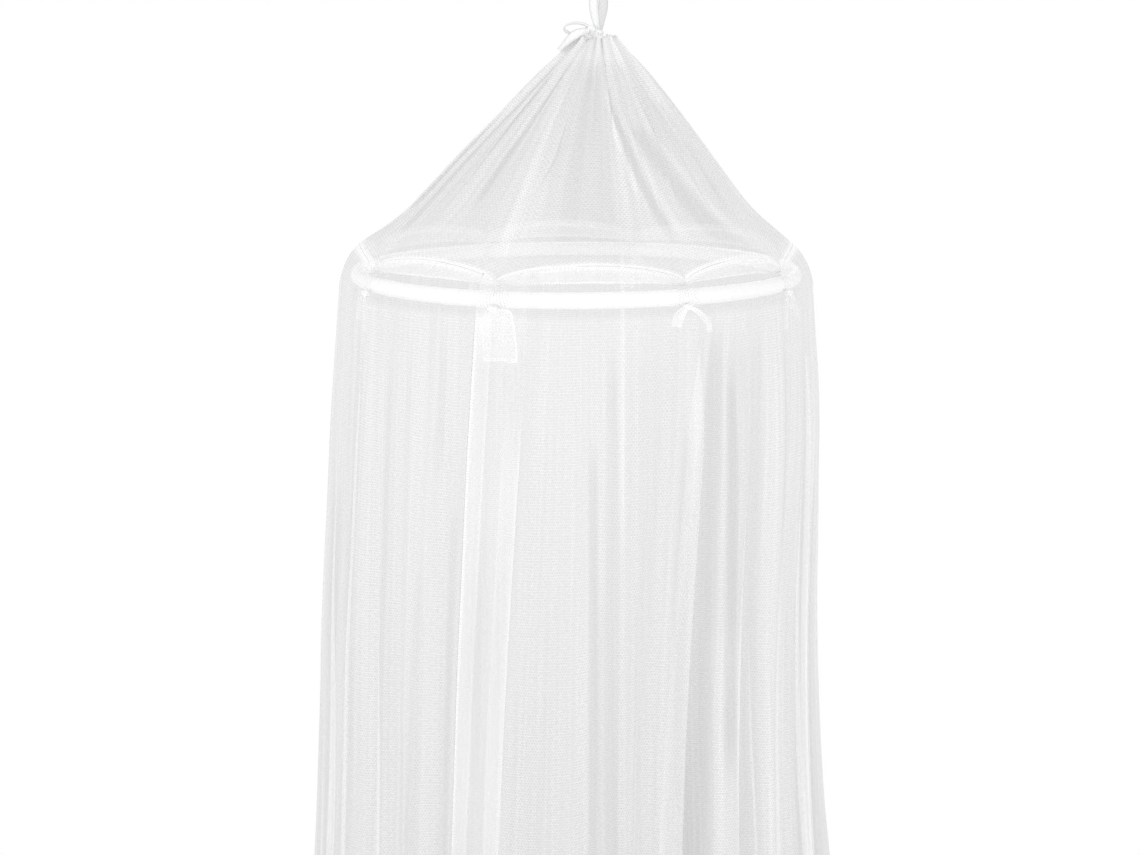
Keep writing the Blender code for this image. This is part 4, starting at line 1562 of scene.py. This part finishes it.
@dataclass
class Studio:
    """Plain pale floor, soft light and the camera."""

    form: NetForm
    camera_distance: float = 2.25
    camera_side: float = -0.008
    camera_rise: float = 0.2686
    camera_pitch: float = 12.1
    lens: float = 53.2
    floor_radius: float = 1.6
    lamps: tuple[tuple[str, tuple[float, float, float], float, float], ...] = (
        ("key", (-1.8, -2.6, 0.3), 2.2, 24.0),
        ("fill", (2.2, -1.8, -0.2), 2.4, 14.0),
        ("back", (0.4, 2.4, 1.2), 2.0, 12.0),
    )

    def camera(self) -> None:
        """Sets the camera at the viewing angle."""
        data = bpy.data.cameras.new("camera")
        data.lens = self.lens
        data.sensor_width = 36.0
        item = bpy.data.objects.new("camera", data)
        item.location = (
            self.form.hoop_x + self.camera_side, -self.camera_distance, self.form.hoop_z + self.camera_rise
        )
        item.rotation_euler = (math.radians(90.0 - self.camera_pitch), 0.0, 0.0)
        bpy.context.scene.collection.objects.link(item)
        bpy.context.scene.camera = item

    def light(self) -> None:
        """Hangs large soft lamps round the object."""
        for name, place, size, power in self.lamps:
            data = bpy.data.lights.new(name, "AREA")
            data.shape = "DISK"
            data.size = size
            data.energy = power
            item = bpy.data.objects.new(name, data)
            target = Vector((self.form.hoop_x, 0.0, self.form.hoop_z - 0.4))
            item.location = Vector(place) + Vector((self.form.hoop_x, 0.0, self.form.hoop_z))
            item.rotation_euler = (target - item.location).to_track_quat("-Z", "Y").to_euler()
            bpy.context.scene.collection.objects.link(item)

    def backdrop(self) -> None:
        """Surrounds the object with white, and with light grey behind the sheer net."""
        world = bpy.data.worlds.new("studio")
        world.use_nodes = True
        tree = world.node_tree
        tree.nodes.clear()
        path = add_node(tree, "LightPath", {}, {})
        through = add_node(
            tree, "Math", {"operation": "GREATER_THAN"}, {0: path.outputs["Transparent Depth"], 1: 0.5}
        )
        # The backdrop has a soft pool of light a little below the hoop's level, and darkens above and below.
        toward = add_node(tree, "TexCoord", {}, {})
        rise = add_node(tree, "SeparateXYZ", {}, {0: toward.outputs["Generated"]}).outputs["Z"]
        below = add_node(tree, "MapRange", {}, {"Value": rise, "From Min": -0.45, "From Max": -0.13,
                                                "To Min": 0.52, "To Max": 0.70})
        above = add_node(tree, "MapRange", {}, {"Value": rise, "From Min": -0.11, "From Max": -0.02,
                                                "To Min": 0.70, "To Max": 0.52})
        pool = add_node(tree, "Math", {"operation": "MINIMUM"}, {0: below.outputs[0], 1: above.outputs[0]})
        seen = add_node(
            tree, "Mix", {"data_type": "RGBA"},
            {0: through.outputs[0], 6: linear("#ffffff"), 7: pool.outputs[0]},
        )
        shown = add_node(tree, "Background", {}, {"Color": seen.outputs[2], "Strength": 1.0})
        lit = add_node(tree, "Background", {}, {"Color": linear("#ffffff"), "Strength": 0.86})
        mixed = add_node(
            tree, "MixShader", {}, {0: path.outputs["Is Camera Ray"], 1: lit.outputs[0], 2: shown.outputs[0]}
        )
        output = add_node(tree, "OutputWorld", {}, {"Surface": mixed.outputs[0]})
        output.is_active_output = True
        bpy.context.scene.world = world

    def floor(self, material: Any) -> None:
        """Lays a round pale floor under the hem.

        Args:
            material: The floor's paint.
        """
        radii = np.array([0.0005, 0.4, 0.8, 1.2, 1.6])[None, :] / 1.6 * self.floor_radius
        u = np.linspace(-180.0, 180.0, 96, endpoint=False)[:, None]
        low = -self.form.hem_drop - 0.012
        points = self.form.place(u, radii, low + 0.0 * u)
        patch = Patch(points, points[..., :2].copy(), np.ones(points.shape[:2]), ring=True)
        make_piece("floor", [patch], material)

    def build(self) -> None:
        """Sets up the studio."""
        scene = bpy.context.scene
        scene.view_settings.view_transform = "Standard"
        scene.cycles.transparent_max_bounces = 40
        self.camera()
        self.light()
        self.backdrop()
        self.floor(PaintedFloor("floor_paint").make())
        log.info("studio: camera, %d lamps, backdrop and floor", len(self.lamps))


def net_form() -> NetForm:
    """Reads the hoop's, rim's and hem's places from the frame.

    Returns:
        The net's form.
    """
    hoop_low, hoop_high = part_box("hoop")
    roof_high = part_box("roof")[1]
    skirt_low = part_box("skirt_right")[0]
    tube = (hoop_high.z - hoop_low.z) / 2
    level = (hoop_high.z + hoop_low.z) / 2
    # The casing's roll stands 4.7 mm above the rim, and the hem's lowest wave hangs 6 mm below its level.
    rim = round(roof_high.z - 0.0047 - level, 3)
    return NetForm(
        hoop_x=(hoop_high.x + hoop_low.x) / 2,
        hoop_z=level,
        hoop_radius=(hoop_high.x - hoop_low.x) / 2 - tube,
        tube_radius=tube,
        rim_height=rim,
        rim_shift=0.028,
        hem_drop=round(level - skirt_low.z - 0.006, 3),
    )


def main() -> None:
    """Builds the canopy's pieces and the studio."""
    logging.basicConfig(level=logging.INFO, format="%(message)s")
    form = net_form()
    log.info("form: hoop at %.4f, rim %.3f above, hem %.3f below", form.hoop_z, form.rim_height, form.hem_drop)
    net = KnittedNet("knitted_net").make()
    folded = KnittedNet("folded_net", haze=0.25).make()
    tape = WovenTape("woven_tape").make()
    plastic = ExtrudedTube("extruded_tube").make()
    Studio(form).build()
    Hoop(form).build(plastic)
    Roof(form).build(net)
    Skirt(form, "skirt_right", -22.0, 166.94, True, True, edge_width=0.0030, edge_crowd=1.7).build(net)
    Skirt(
        form, "skirt_left", -192.94, -10.0, False, False, edge_start=0.10, edge_crowd=1.0, edge_fade=0.95
    ).build(net)
    HoopStrip(form).build(folded)
    for index, row in enumerate(form.ties, start=1):
        HoopTie(form, index, row).build(folded)
    HangingTape(form).build(tape)


if __name__ == "__main__":
    main()
